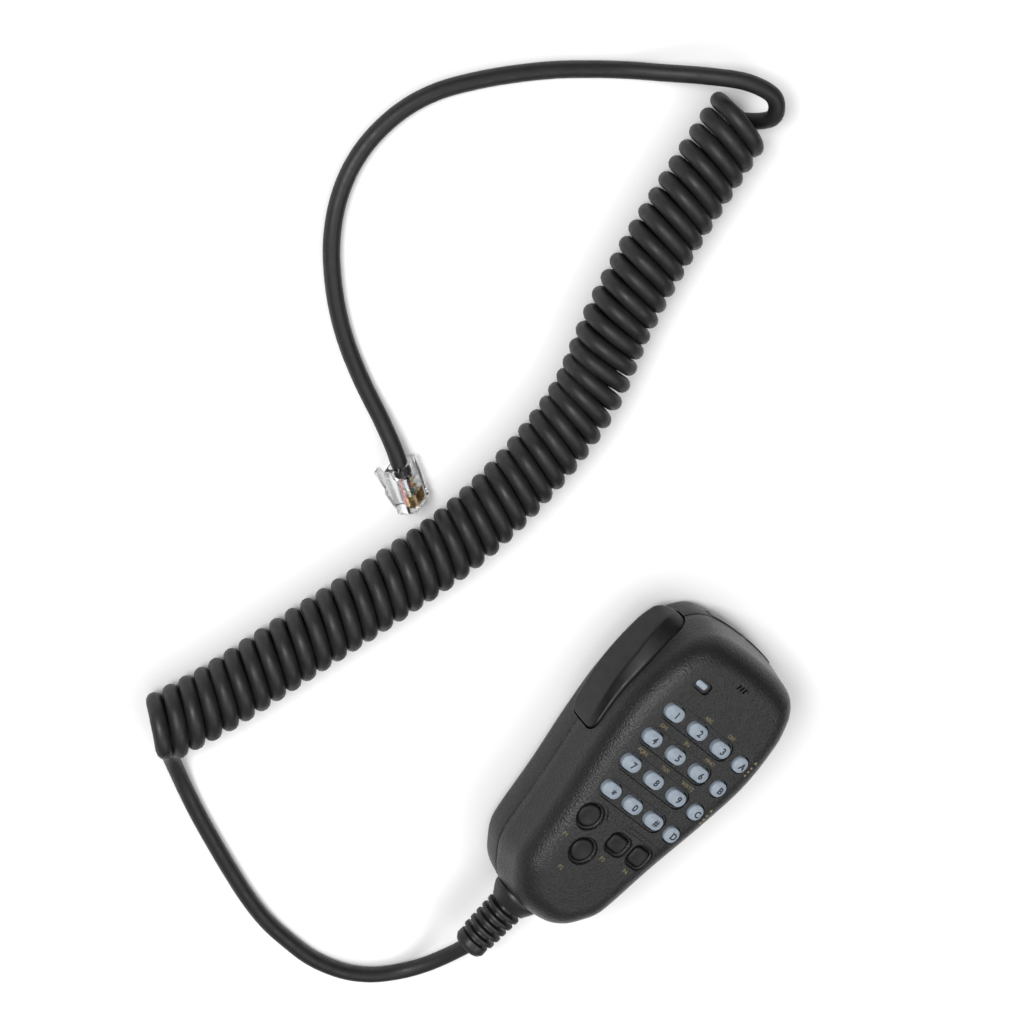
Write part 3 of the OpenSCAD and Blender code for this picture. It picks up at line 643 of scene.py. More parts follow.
LEAD = [(0, -77.9, 13.3), (-0.2, -86, 8.8), (-2, -94, 5.2), (-6, -101, 3), (-13, -107, 2.6),
        (-22, -111, 2.6), (-33, -112.8, 2.6), (-44, -112.2, 2.6), (-55, -110.6, 2.6), (-66, -107.4, 2.6),
        (-77, -103.2, 2.6),
        (-88, -98.6, 2.6), (-98, -94.2, 2.6), (-107, -89.8, 3), (-115, -85.6, 5), (-122, -82, 9)]
COIL = [(-130.5, -78, 10.8), (-122.5, -59.5, 10.8), (-114, -33, 10.8), (-104.5, -3.5, 10.8),
        (-97.5, 22, 10.8), (-95.2, 49, 10.8), (-97.4, 75, 10.8), (-106, 99, 10.8), (-112, 122, 10.8),
        (-116.5, 146, 10.8), (-119.5, 165, 10.8)]
TAIL = [(-112.5, 170.5, 12), (-118, 174.6, 15), (-127, 172.4, 14.5),
        (-136, 166.2, 11), (-145, 158.6, 6.5), (-153, 152, 3.2), (-161, 145.4, 2.6), (-169, 138.4, 2.6),
        (-177, 130.2, 2.6), (-184.5, 121.4, 2.6), (-191, 112, 2.6), (-195, 102, 2.6), (-196.4, 91, 2.6),
        (-195.2, 81, 2.6), (-191.6, 71.6, 2.6), (-186, 63, 2.6), (-179, 55.6, 2.6), (-170.5, 48.6, 2.6),
        (-161, 42.6, 2.6), (-150, 37.2, 3), (-140, 33, 4.4), (-132, 29.2, 6.2)]
PLUG_AT = Vector((-126.5, 26.2, 6.6))
PLUG_TURN = math.radians(-28.5)
PLUG_ROLL = math.radians(-50)
PLUG = (PLACE @ Matrix.Translation(PLUG_AT) @ Matrix.Rotation(PLUG_TURN, 4, "Z")
        @ Matrix.Rotation(PLUG_ROLL, 4, "X"))
PLUG_ALONG = Vector((math.cos(PLUG_TURN), math.sin(PLUG_TURN), 0))
JACKET_IN = 3.6
POINTS_PER_TURN = 20
FIRST_ANGLE = 75
LAST_ANGLE = 300


def coil_points():
    """The curly part: turns round a bent centre line, each over the top towards the left."""
    sizes = bpy.context.scene.mic_cord
    radius, lean = sizes.turn / MM, sizes.lean / MM
    centre = open_curve(COIL, 12)
    lengths = [0.0]
    for a, b in zip(centre, centre[1:]):
        lengths.append(lengths[-1] + (b - a).length)
    total_angle = 360 * sizes.turns + LAST_ANGLE - FIRST_ANGLE - 360
    count = round(total_angle / 360 * POINTS_PER_TURN)
    points = []
    k = 0
    for i in range(count + 1):
        angle = math.radians(FIRST_ANGLE + total_angle * i / count)
        run = lengths[-1] * i / count
        while k < len(lengths) - 2 and lengths[k + 1] < run:
            k += 1
        t = (run - lengths[k]) / (lengths[k + 1] - lengths[k])
        along = (centre[k + 1] - centre[k]).normalized()
        right = along.cross(Vector((0, 0, 1)))
        middle = centre[k].lerp(centre[k + 1], t) - along * lean * math.cos(angle)
        points.append(middle + radius * (math.cos(angle) * right + math.sin(angle) * Vector((0, 0, 1))))
    return points


def cord_path():
    """The whole cord, from the strain relief to the end of its jacket in the plug."""
    coil = coil_points()
    lead = open_curve(LEAD + [coil[0], coil[3]], 5)[:-6]
    tail_end = [PLUG_AT - PLUG_ALONG, PLUG_AT + JACKET_IN * PLUG_ALONG]
    tail = open_curve([coil[-4], coil[-1]] + TAIL + tail_end, 6)[6:]
    return lead + coil + tail[1:]


def build_cord():
    """One round black cord: its lead, its curly part and its tail."""
    sizes = bpy.context.scene.mic_cord
    path = [PLACE @ p for p in cord_path()]
    data = bpy.data.curves.new("cord", "CURVE")
    data.dimensions = "3D"
    data.bevel_depth, data.bevel_resolution = sizes.diameter / 2, 5
    data.use_fill_caps = True
    data.twist_mode = "MINIMUM"
    line = data.splines.new("POLY")
    line.points.add(len(path) - 1)
    for point, p in zip(line.points, path):
        point.co = (*p, 1)
    line.use_smooth = True
    data.materials.append(MATERIALS["cord_rubber"])
    cord = bpy.data.objects.new("cord", data)
    bpy.context.scene.collection.objects.link(cord)
    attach(cord, "case")
    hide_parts("cord_lead", "cord_coil", "cord_tail")
    return cord, path


CORD_Z = 14.5
COLLAR_START, COLLAR_LENGTH = -51, 9.4
BOOT_TILT = math.radians(4)
RIBS, FIRST_RIB, RIB_PITCH, RIB_TAPER = 5, 1.87, 2.74, 0.08


def build_boot():
    """The strain relief: a smooth collar and a ribbed tail."""
    mesh = bmesh.new()
    collar = fillet([(0, 0), (7.2, 0), (7.2, 1.4), (5.7, 1.6), (5.7, 4.1), (8.2, 4.1), (8.2, 5.6),
                     (7.2, 7.5), (6.4, 8.7), (6.1, COLLAR_LENGTH), (0, COLLAR_LENGTH)], 0.45)
    start = Matrix.Translation((0, COLLAR_START, CORD_Z))
    lathe(mesh, collar, start @ Matrix.Rotation(math.pi / 2, 4, "X"))
    tail = [(0, -2.5), (3.8, -2.5)]
    for i in range(RIBS):
        middle, rim = FIRST_RIB + RIB_PITCH * i, 6.1 - RIB_TAPER * i
        tail += [(3.6, middle - 0.68), (rim, middle - 0.62), (rim, middle + 0.62), (3.6, middle + 0.68)]
    tail += [(3.8, 14.75), (5.3, 14.8), (5.4, 17.2), (4.4, 18.6), (2.5, 18.6), (2.5, 16), (0, 16)]
    end = Matrix.Translation((0, COLLAR_START - COLLAR_LENGTH, CORD_Z))
    lathe(mesh, fillet(tail, 0.3, steps=3), end @ Matrix.Rotation(math.pi / 2 + BOOT_TILT, 4, "X"))
    return finish_piece(solid("boot", mesh), "case", MATERIALS["boot_rubber"],
                        ["strain_relief"], sharp=50)


# ------------------------------------------------------------------ plug

PLUG_L, PLUG_W, PLUG_H = 14.6, 9.65, 6.6
CONTACT_PITCH = 1.02
LATCH_ANGLE = math.radians(-19)
WIRE_LEVEL = -0.17


def build_plug_body():
    """The clear body of the modular plug, hollow where the cord, its wires and the contacts go."""
    mesh = bmesh.new()
    across = lambda shrink: [(y, z) for y, z in rounded(PLUG_W - 2 * shrink, PLUG_H - 2 * shrink, 0.35, 3)]
    loft(mesh, [[Vector((x, y, z)) for y, z in across(shrink)]
                for x, shrink in ((0, 0.25), (0.25, 0), (PLUG_L - 0.5, 0), (PLUG_L, 0.4))])
    body = solid("plug_shell", mesh)
    mouth, slots = bmesh.new(), bmesh.new()
    loft(mouth, [[Vector((x, y, z)) for y, z in rounded(w, h, r, 3)]
                 for x, w, h, r in ((-1, 7.2, 5.6, 1.6), (0.3, 6.6, 5.5, 1.6),
                                    (JACKET_IN + 0.5, 5.7, 5.4, 2.5))])
    box(slots, (JACKET_IN + 0.2, -3.1, -0.85), (12.6, 3.1, 0.5))
    for i in range(6):
        y = (i - 2.5) * CONTACT_PITCH
        box(slots, (9.4, y - 0.22, 0.6), (13.8, y + 0.22, 4))
    box(slots, (JACKET_IN + 1.6, -2.4, 2.1), (JACKET_IN + 3.4, 2.4, 4))
    cut(body, mouth, slots)
    return finish_piece(body, "case", MATERIALS["clear_plastic"], ["plug_body"], PLUG, 25)


def build_plug_latch():
    """The springy tongue under the plug."""
    mesh = bmesh.new()
    root = Matrix.Translation((13.2, 0, -PLUG_H / 2 - 0.8)) @ Matrix.Rotation(LATCH_ANGLE, 4, "Y")
    tongue = [(-12.2, 1.35, 0.35), (-11.9, 1.6, 0.5), (-6.4, 1.6, 0.5), (-5.2, 3.0, 0.5),
              (-0.3, 3.05, 0.55), (0.35, 3.0, 0.35)]
    loft(mesh, [[root @ Vector((x, y, z)) for y, z in rounded(2 * w, 2 * h, 0.3, 3)]
                for x, w, h in tongue])
    return finish_piece(solid("plug_tongue", mesh), "latch", MATERIALS["clear_plastic"],
                        ["plug_latch"], PLUG, 30)


def build_plug_wires():
    """Six coloured wires that fan out from the jacket to the contacts."""
    rng = random.Random(4)
    made = []
    for i, (colour, value) in enumerate(WIRE_COLOURS.items()):
        mesh = bmesh.new()
        y = (i - 2.5) * CONTACT_PITCH
        start = Vector((JACKET_IN, y * 0.55, rng.uniform(-0.3, 0.1)))
        bend = Vector((6.6, y * 0.8 + rng.uniform(-0.2, 0.2), WIRE_LEVEL + rng.uniform(-0.15, 0.15)))
        ends = [Vector((x, y, WIRE_LEVEL)) for x in (9.4, 12.4)]
        tube(mesh, open_curve([start, bend, *ends], 6), 0.42, 14)
        material = satin_plastic("wire_" + colour, value, grain=0.01, roughness=0.35)
        made.append(finish_piece(solid("plug_wire_" + colour, mesh), "case", material,
                                 ["plug_wires"] if i == 0 else [], PLUG))
    return made


# ------------------------------------------------------------------ case

SIDE_DRAFT = 1.2
FACE_THICKNESS = 2.2
SHOULDER_RISE = 9.5
LEVER_ROUND = 4
ARC_STEPS = 16
FULL_ROUND = 9


def front_rings():
    """Rings of the front shell: down its inside, round the rebated joint and up its outside."""
    case = bpy.context.scene.mic_case
    face, seam, wall, shoulder = case.face / MM, case.seam / MM, case.wall / MM, case.shoulder / MM
    spring, under = face - SHOULDER_RISE, face - FACE_THICKNESS
    rings = []
    for k in range(ARC_STEPS, -1, -1):
        a = math.pi / 2 * k / ARC_STEPS
        rings.append((SIDE_DRAFT + wall + 7.2 * (1 - math.cos(a)), spring + (under - spring) * math.sin(a)))
    rings += [(wall + 0.1, seam + 1.5), (1.05, seam + 1.5), (1.05, seam + 0.12)]
    rings += [(0.4, seam + 0.12), (0.16, seam + 0.24), (0, seam + 0.55)]
    rings += [(SIDE_DRAFT * t, seam + 0.55 + (spring - seam - 0.55) * t) for t in (0.25, 0.5, 0.75, 1)]
    for k in range(1, ARC_STEPS + 1):
        a = math.pi / 2 * k / ARC_STEPS
        rings.append((SIDE_DRAFT + shoulder * (1 - math.cos(a)), spring + SHOULDER_RISE * math.sin(a)))
    return [ring_at(inset(d), z) for d, z in rings]


def rear_rings():
    """Rings of the rear shell: up its inside, over the joint's lip and down its outside."""
    case = bpy.context.scene.mic_case
    seam, wall, back = case.seam / MM, case.wall / MM, case.back / MM
    sloped = lambda d, above: [Vector((p.x, p.y, back * ease((p.y + 27) / 9) + above)) for p in inset(d)]
    rings = [sloped(wall + 3.5, wall), sloped(wall + 1.6, 3), sloped(wall + 0.6, 5.5)]
    rings += [ring_at(inset(d), z) for d, z in ((wall, seam + 1.2), (1.2, seam + 1.2), (1.2, seam - 0.12),
                                                 (0.4, seam - 0.12), (0.16, seam - 0.24), (0, seam - 0.55))]
    for k in range(13):
        a = math.pi / 2 * k / 12
        rings.append(ring_at(inset(0.4 + 3.8 * (1 - math.cos(a))), 4.4 * (1 - math.sin(a))))
    return rings


def back_recess():
    """A cutter for the recess in the back, with softened edges."""
    case = bpy.context.scene.mic_case
    end, back = -15, case.back / MM
    mesh = bmesh.new()
    rings = []
    for grow, z in ((0.8, -0.6), (0.35, -0.05), (0.1, 0.15), (0, 0.5), (-0.3, back - 0.5), (-0.7, back)):
        upper = [p for p in inset(7 - grow) if p.y > end + 4]
        gap = next(i for i in range(len(upper)) if (upper[i] - upper[i - 1]).length > 8)
        upper = upper[gap:] + upper[:gap]
        inward = Vector((math.copysign(4, upper[0].x), 0))
        corners = [Vector((upper[0].x, end - grow)), Vector((upper[-1].x, end - grow))]
        turns = [[(1 - t) ** 2 * a + 2 * t * (1 - t) * b + t * t * c for t in (0, 0.2, 0.4, 0.6, 0.8)]
                 for a, b, c in ((corners[0] - inward, corners[0], upper[0]),
                                 (corners[1] + inward, corners[1], upper[-1]))]
        rings.append(resampled(turns[0] + upper + turns[1][::-1], 150, z))
    loft(mesh, rings)
    return mesh


def resampled(outline, count, z):
    """A level ring with evenly spread points along an outline."""
    lengths = [0.0]
    for i, p in enumerate(outline):
        lengths.append(lengths[-1] + (outline[(i + 1) % len(outline)] - p).length)
    ring = []
    k = 0
    for i in range(count):
        run = lengths[-1] * i / count
        while lengths[k + 1] < run:
            k += 1
        t = (run - lengths[k]) / max(lengths[k + 1] - lengths[k], 1e-9)
        p = outline[k].lerp(outline[(k + 1) % len(outline)], t)
        ring.append(Vector((p.x, p.y, z)))
    return ring


def lever_stations():
    """Places along the lever, close together at its ends."""
    middle, size = cad_centre("ptt_lever")
    return [middle.y - size.y / 2 * math.cos(math.pi * i / 64) for i in range(65)]


def lever_reach(y):
    """How much of its full section the lever has at a place along it, and its lower and upper edges."""
    middle, size = cad_centre("ptt_lever")
    near_end = size.y / 2 - abs(y - middle.y)
    swell = math.sqrt(max(1 - (1 - min(near_end / LEVER_ROUND, 1)) ** 2, 0))
    short = LEVER_ROUND * (1 - swell)
    drop = 0.0105 * max(y - 22, 0) ** 2
    return 0.25 + 0.75 * swell, middle.z - size.z / 2 + short, middle.z + size.z / 2 - drop - short


def side_windows():
    """A cutter for the lever's window and for the windows of the two buttons on the top end."""
    mesh = bmesh.new()
    middle, size = cad_centre("ptt_lever")
    reach = [(y, *lever_reach(y)[1:]) for y in lever_stations()]
    edge = [(y, low) for y, low, high in reach] + [(y, high) for y, low, high in reversed(reach)]
    loft(mesh, [[Vector((x, middle.y + (y - middle.y) * 1.024, middle.z + (z - middle.z) * 1.055))
                 for y, z in edge] for x in (-40, -18.4)])
    for node in ("up_button", "down_button"):
        middle, size = cad_centre(node)
        window = rounded(size.x + 0.5, size.z + 0.45, 0.9, 5)
        loft(mesh, [[Vector((middle.x + p.x, y, middle.z + p.y)) for p in window] for y in (62, 42)])
    return mesh


def cord_gate():
    """A cutter for the round seat of the strain relief."""
    mesh = bmesh.new()
    lathe(mesh, [(0, -9), (6, -9), (6, 0), (8.45, 0), (8.45, 20), (0, 20)],
          Matrix.Translation((0, -55, CORD_Z)) @ Matrix.Rotation(math.pi / 2, 4, "X"))
    return mesh


def groove(mesh, path, width, low, high):
    """Adds a flat-bottomed strip along a path on the face."""
    p = [Vector(q) for q in path]
    left, right = [], []
    for i, q in enumerate(p):
        along = (p[min(i + 1, len(p) - 1)] - p[max(i - 1, 0)]).normalized()
        side = Vector((-along.y, along.x)) * width / 2
        left.append(q + side)
        right.append(q - side)
    loft(mesh, [ring_at(right + left[::-1], low), ring_at(right + left[::-1], high)])


def recess(top, depth, soft=0.3):
    """Profile of a cutter for a recess with a softened rim."""
    return [(0, top - depth), (0, top - 0.22), (soft * 0.3, top - 0.06), (soft, top + 0.12),
            (soft * 2, top + 0.6)]


def hole(top, under, soft=0.18):
    """Profile of a cutter for a hole through the face with a softened rim."""
    return [(0, under - 1), (0, top - 0.2), (soft * 0.35, top - 0.06), (soft, top + 0.08)]


def band_cutter(face):
    """A cutter for the four shallow bands that the number keys lie in."""
    mesh = bmesh.new()
    depth = bpy.context.scene.mic_keypad.band / MM
    flange = bpy.context.scene.mic_keypad.flange / MM
    for row in KEY_ROWS:
        first, size = cad_centre(row[0])
        last = cad_centre(row[2])[0]
        w, h = last.x - first.x + size.x - 2 * flange + 1.6, size.y - 2 * flange + 2.1
        raised(mesh, lambda g: rounded(w + 2 * g, h + 2 * g, h / 2 - 0.4 + g, 10), recess(face, depth),
               ((first.x + last.x) / 2, first.y))
    return mesh


def key_cutter(face, under):
    """A cutter for the holes of the sixteen keys."""
    mesh = bmesh.new()
    sizes = bpy.context.scene.mic_keypad
    grow = sizes.gap / MM - sizes.flange / MM
    for row in KEY_ROWS:
        for column, node in enumerate(row):
            middle, size = cad_centre(node)
            w, h = size.x + 2 * grow, size.y + 2 * grow
            top = face - sizes.band / MM if column < 3 else face
            raised(mesh, lambda g: rounded(w + 2 * g, h + 2 * g, 2.65 + g), hole(top, under), middle.xy)
    return mesh


def button_cutter(face, under):
    """A cutter for the programme buttons' deep recesses, the lens's recess and the sound slots."""
    mesh = bmesh.new()
    bowl = [(0, under - 1), (0, face - 1.0), (0.55, face - 0.75), (0.75, face - 0.3), (0.95, face + 0.05),
            (1.3, face + 0.6)]
    for node, round_off in (("p1_button", FULL_ROUND), ("p2_button", FULL_ROUND), ("p3_button", 2.0),
                            ("p4_button", 2.0)):
        middle, size = cad_centre(node)
        edge = 0.8 if round_off == FULL_ROUND else 0.7
        w, h = size.x - 2 * edge + 0.6, size.y - 2 * edge + 0.6
        raised(mesh, lambda g: rounded(w + 2 * g, h + 2 * g, round_off + g, 10), bowl, middle.xy)
    lens, size = cad_centre("status_lens")
    w, h = size.x - 1.6, size.y - 1.6
    raised(mesh, lambda g: rounded(w + 0.8 + 2 * g, h + 1.4 + 2 * g, 1.5 + g), recess(face, 1.0),
           (lens.x + 0.1, lens.y - 0.1))
    raised(mesh, lambda g: rounded(w + 0.2, h + 0.2, 0.6), [(0, under - 1), (0, face - 0.8)], lens.xy)
    sound = cad_centre("mic_capsule")[0]
    for i in (-1, 0, 1):
        raised(mesh, lambda g: rounded(0.62 + 2 * g, 1.9 + 2 * g, 0.3 + g, 4), hole(face, under, 0.1),
               (sound.x + 1.3 * i, sound.y), math.radians(-14))
    return mesh


def line_cutter(face):
    """A cutter for the fine lines and dots on the face."""
    mesh = bmesh.new()
    low, high = face - 0.4, face + 0.5
    p1 = cad_centre("p1_button")[0]
    arc = [(p1.x + 5.75 * math.cos(a), p1.y + 5.75 * math.sin(a))
           for a in (math.radians(20 + 68 * k / 14) for k in range(15))]
    groove(mesh, arc, 0.5, low, high)
    groove(mesh, [(-1, -14), (7, -13.7), (14.8, -14.2)], 0.4, low, high)
    groove(mesh, fillet([(-1, -15.4), (7, -15.1), (14.6, -15.6), (15.6, -17.6)], 1.2, 5), 0.4, low, high)
    for x, y in ((-0.2, 40.7), (2.9, 41.7), (2.9, 40), (4.2, -36)):
        raised(mesh, lambda g: rounded(0.5, 0.5, 0.25, 4), [(0, face - 0.25), (0, high)], (x, y))
    return mesh


def build_front_shell():
    """The front shell, with its windows, key holes and the recesses on its face."""
    case = bpy.context.scene.mic_case
    face = case.face / MM
    under = face - FACE_THICKNESS
    mesh = bmesh.new()
    loft(mesh, front_rings())
    shell = solid("front_case", mesh)
    cut(shell, side_windows(), cord_gate(), band_cutter(face), key_cutter(face, under),
        button_cutter(face, under), line_cutter(face))
    return finish_piece(shell, "case", MATERIALS["case_plastic"], ["front_shell"])


def build_rear_shell():
    """The rear shell, with its windows, screw wells, switch slots and a blank label's recess."""
    mesh = bmesh.new()
    loft(mesh, rear_rings(), strips=True)
    shell = solid("rear_case", mesh)
    back = bpy.context.scene.mic_case.back / MM
    wells, dips = bmesh.new(), bmesh.new()
    for x, y, floor in ((-9, 29.5, back), (9, 29.5, back), (-12.5, -41, 0), (12.5, -41, 0)):
        raised(wells, lambda g: rounded(5.2 + 2 * g, 5.2 + 2 * g, FULL_ROUND, 10),
               [(0.4, floor - 0.5), (0.2, floor + 0.02), (0, floor + 0.3), (0, 9)], (x, y))
    for node in ("lock_slider", "lamp_slider"):
        middle = cad_centre(node)[0]
        at = (middle.x, middle.y + 1.25)
        raised(wells, lambda g: rounded(3, 6.2, 0.8), [(0, back - 1), (0, 8)], at)
        raised(dips, lambda g: rounded(6.4 + 2 * g, 10.4 + 2 * g, 2 + g),
               [(0.5, back - 0.5), (0.2, back + 0.05), (0, back + 0.35), (0, back + 0.8)], at)
    raised(dips, lambda g: rounded(22 + 2 * g, 6 + 2 * g, 1 + g, 6),
           [(0.3, back - 0.5), (0.1, back + 0.02), (0, back + 0.2), (0, back + 0.35)], (0, 37))
    raised(wells, lambda g: rounded(2.9, 2.9, FULL_ROUND, 8), [(0, -1), (0, 14)], (0, HANGER_Y))
    cut(shell, side_windows(), cord_gate(), back_recess(), dips, wells)
    return finish_piece(shell, "case", MATERIALS["case_plastic"], ["rear_shell"])


# ------------------------------------------------------------------ lever, keys and buttons

def lever_section(y):
    """The lever's cross-section at a place along it: it stands out further towards its top."""
    scale, low, high = lever_reach(y)
    side = -case_half_width(y)
    out = side - (1.408 + 0.0864 * y) * scale + 0.03
    q = min((high - low) / 6, 1)
    section = [(side + 1.8, low), (side, low), (out + 0.9 * scale, low + 0.1 * q), (out, low + 1.6 * q),
               (out + 1.2 * scale, high - 3 * q), (side + 0.4, high - 0.15 * q), (side + 1.8, high)]
    return [Vector((p.x, y, p.y)) for p in fillet(section, 0.6 * q, 4, closed=True)]


def build_lever():
    """The talk lever: a long shell over the case's side, with its knuckle and its nub."""
    mesh = bmesh.new()
    loft(mesh, [lever_section(y) for y in lever_stations()])
    pin = cad_centre("ptt_pin")[0]
    knuckle = fillet([(0, 0), (2.1, 0), (2.1, 6.8), (0, 6.8)], 0.3)
    lathe(mesh, knuckle, Matrix.Translation((pin.x, pin.y, 8.4)), 40)
    box(mesh, (pin.x - 3.6, pin.y - 1.5, 8.6), (pin.x - 0.4, pin.y + 1.5, 15), 0.3)
    plunger = cad_centre("ptt_plunger")[0]
    box(mesh, (-25.2, plunger.y - 1.6, plunger.z - 1.8),
        (-20.65, plunger.y + 1.6, plunger.z + 1.8), 0.3)
    return finish_piece(solid("talk_lever", mesh), "talk_lever", MATERIALS["lever_plastic"],
                        ["ptt_lever"], sharp=60)


def build_scan_buttons():
    """The two long buttons on the top end, which follow its curve."""
    for node, body in (("up_button", "up_key"), ("down_button", "down_key")):
        middle, size = cad_centre(node)
        mesh = bmesh.new()
        rings = []
        for i in range(33):
            x = middle.x - size.x / 2 * math.cos(math.pi * i / 32)
            near_end = min((size.x / 2 - abs(x - middle.x)) / 1.1, 1)
            swell = math.sqrt(max(1 - (1 - near_end) ** 2, 0))
            top = case_top_edge(x) + 0.47 - 0.5 * (1 - swell)
            half = size.z / 2 - 0.9 * (1 - swell)
            section = fillet([(-1.6, -half), (0, -half), (0, half), (-1.6, half)], 0.6, 4, closed=True)
            rings.append([Vector((x, top + p.x, middle.z + p.y)) for p in section])
        loft(mesh, rings)
        nub = math.copysign(8.5, middle.x)
        box(mesh, (nub - 1.5, 45.7, middle.z - 1.5), (nub + 1.5, 50, middle.z + 1.5), 0.25)
        finish_piece(solid(node + "_cap", mesh), body, MATERIALS["scan_plastic"],
                     [node], sharp=50)


def key_profile(low, flange_top, top):
    """Growth and height up a key: its hidden flange, its wall, its round edge and its gentle crown."""
    edge = 0.75
    rim = [(-edge * (1 - math.cos(a)), top - 0.33 - edge * (1 - math.sin(a)))
           for a in (math.radians(18 * k) for k in range(1, 6))]
    crown = [(-edge - d, top - 0.33 + 0.33 * (1 - (1 - d / 1.5) ** 2)) for d in (0.3, 0.6, 0.9, 1.2, 1.45)]
    return [(0.8, low), (0.8, flange_top - 0.15), (0.65, flange_top), (0.05, flange_top + 0.02),
            (0, flange_top + 0.15), (0, top - 1.3)] + rim + crown


def lettering(text, size, thickness, bold=0.0):
    """A mesh of flat letters about their own middle."""
    data = bpy.data.curves.new("letters", "FONT")
    data.body, data.size, data.extrude, data.offset = text, size, thickness / 2, bold
    data.resolution_u = 4
    holder = bpy.data.objects.new("letters", data)
    bpy.context.scene.collection.objects.link(holder)
    bpy.context.view_layer.update()
    flat = bpy.data.meshes.new_from_object(holder.evaluated_get(bpy.context.evaluated_depsgraph_get()))
    bpy.data.objects.remove(holder)
    mesh = bmesh.new()
    mesh.from_mesh(flat)
    bmesh.ops.remove_doubles(mesh, verts=mesh.verts, dist=0.001)
    xs, ys = [v.co.x for v in mesh.verts], [v.co.y for v in mesh.verts]
    middle = Vector(((min(xs) + max(xs)) / 2, (min(ys) + max(ys)) / 2, 0))
    bmesh.ops.translate(mesh, verts=mesh.verts, vec=-middle)
    return mesh


def lay_on(mesh, surface, at, turn=0.0):
    """Moves letters to a place and lets each point follow the surface under it."""
    spin = Matrix.Rotation(turn, 3, "Z")
    for v in mesh.verts:
        p = spin @ v.co
        hit = surface.ray_cast(Vector((p.x + at[0], p.y + at[1], 60)), Vector((0, 0, -1)))[0]
        v.co = Vector((p.x + at[0], p.y + at[1], hit.z + p.z))


def cut_long_edges(mesh, longest):
    """Splits the long edges of a mesh, so that it can bend with what it lies on."""
    for _ in range(3):
        edges = [e for e in mesh.edges if e.calc_length() > longest]
        if not edges:
            break
        bmesh.ops.subdivide_edges(mesh, edges=edges, cuts=1)
        bmesh.ops.triangulate(mesh, faces=mesh.faces)


def build_keys():
    """Sixteen silicone keys with a dark legend on each."""
    sizes = bpy.context.scene.mic_keypad
    for node, legend in KEYS.items():
        middle, size = cad_centre(node)
        low, top = middle.z - size.z / 2, middle.z + size.z / 2
        flange = sizes.flange / MM
        w, h = size.x - 2 * flange, size.y - 2 * flange
        mesh = bmesh.new()
        raised(mesh, lambda g: rounded(w + 2 * g, h + 2 * g, 2.3 + g, 8), key_profile(low, low + 1, top),
               middle.xy)
        surface = BVHTree.FromBMesh(mesh)
        finish_piece(solid(node + "_cap", mesh), node + "_body",
                     MATERIALS["key_silicone"], [node], sharp=50)
        letters = lettering(legend, sizes.legend / MM * (1.25 if legend == "*" else 1), 0.08, 0.09)
        cut_long_edges(letters, 0.5)
        lay_on(letters, surface, (middle.x + 0.55, middle.y))
        finish_piece(solid(node + "_legend", letters), node + "_body", MATERIALS["key_ink"])


def build_programme_buttons():
    """Two round and two square black buttons, sunk in the face."""
    for node, corner in (("p1_button", FULL_ROUND), ("p2_button", FULL_ROUND), ("p3_button", 1.7),
                         ("p4_button", 1.7)):
        middle, size = cad_centre(node)
        low, top = middle.z - size.z / 2, middle.z + size.z / 2
        edge = 0.8 if corner == FULL_ROUND else 0.7
        w, h = size.x - 2 * edge, size.y - 2 * edge
        profile = [(edge, low), (edge, low + 1), (0, low + 1.02), (0, top - 0.75), (-0.12, top - 0.35),
                   (-0.4, top - 0.1), (-0.8, top - 0.02), (-1.6, top - 0.1), (-2.2, top - 0.16)]
        mesh = bmesh.new()
        raised(mesh, lambda g: rounded(w + 2 * g, h + 2 * g, corner + g, 12), profile, middle.xy)
        finish_piece(solid(node + "_cap", mesh), node + "_body",
                     MATERIALS["button_plastic"], [node], sharp=45)


def build_lens():
    """The milky lens of the status lamp, low in its recess."""
    middle, size = cad_centre("status_lens")
    low, top = middle.z - size.z / 2, middle.z + size.z / 2
    profile = [(0.8, low), (0.8, low + 1), (0, low + 1.02), (0, top - 0.5), (-0.1, top - 0.2),
               (-0.35, top - 0.05), (-0.7, top)]
    mesh = bmesh.new()
    raised(mesh, lambda g: rounded(4.5 + 2 * g, 2.1 + 2 * g, 0.9 + g, 10), profile, middle.xy)
    return finish_piece(solid("lens_cap", mesh), "case", MATERIALS["lens"], ["status_lens"], sharp=50)


def build_labels():
    """The faint gold printing on the face: letter groups, button names and small marks."""
    face = bpy.context.scene.mic_case.face / MM
    groups = {"key_2": "ABC", "key_3": "DEF", "key_4": "GHI", "key_5": "JKL", "key_6": "MNO", "key_7": "PQRS",
              "key_8": "TUV", "key_9": "WXYZ"}
    placed = []
    for node, text in groups.items():
        middle, size = cad_centre(node)
        placed.append((text, 1.75, middle.x + 0.3, middle.y + 4.9))
    for text, x, y in (("P1", -15.5, -27.3), ("P2", -8.6, -36.5), ("P3", 0.9, -27), ("P4", 10.6, -26)):
        placed.append((text, 2.0, x, y))
    mesh = bmesh.new()
    for text, size, x, y in placed:
        letters = lettering(text, size, 0.05)
        bmesh.ops.translate(letters, verts=letters.verts, vec=(x, y, face + 0.01))
        data = bpy.data.meshes.new("letters")
        letters.to_mesh(data)
        letters.free()
        mesh.from_mesh(data)
    for node in ("key_a", "key_c"):
        middle = cad_centre(node)[0]
        x, y = middle.x + 4.3, middle.y + 3.4
        loft(mesh, [[Vector((x + dx, y + dy, z)) for dx, dy in ((-0.6, -0.5), (0.6, -0.5), (0, 0.6))]
                    for z in (face - 0.02, face + 0.03)])
        for k in range(3):
            raised(mesh, lambda g: rounded(0.7, 0.8, 0.3, 4), [(0, face - 0.02), (0, face + 0.03)],
                   (x, y - 2.1 - 1.5 * k))
    return finish_piece(solid("face_lettering", mesh), "case", MATERIALS["label_ink"])


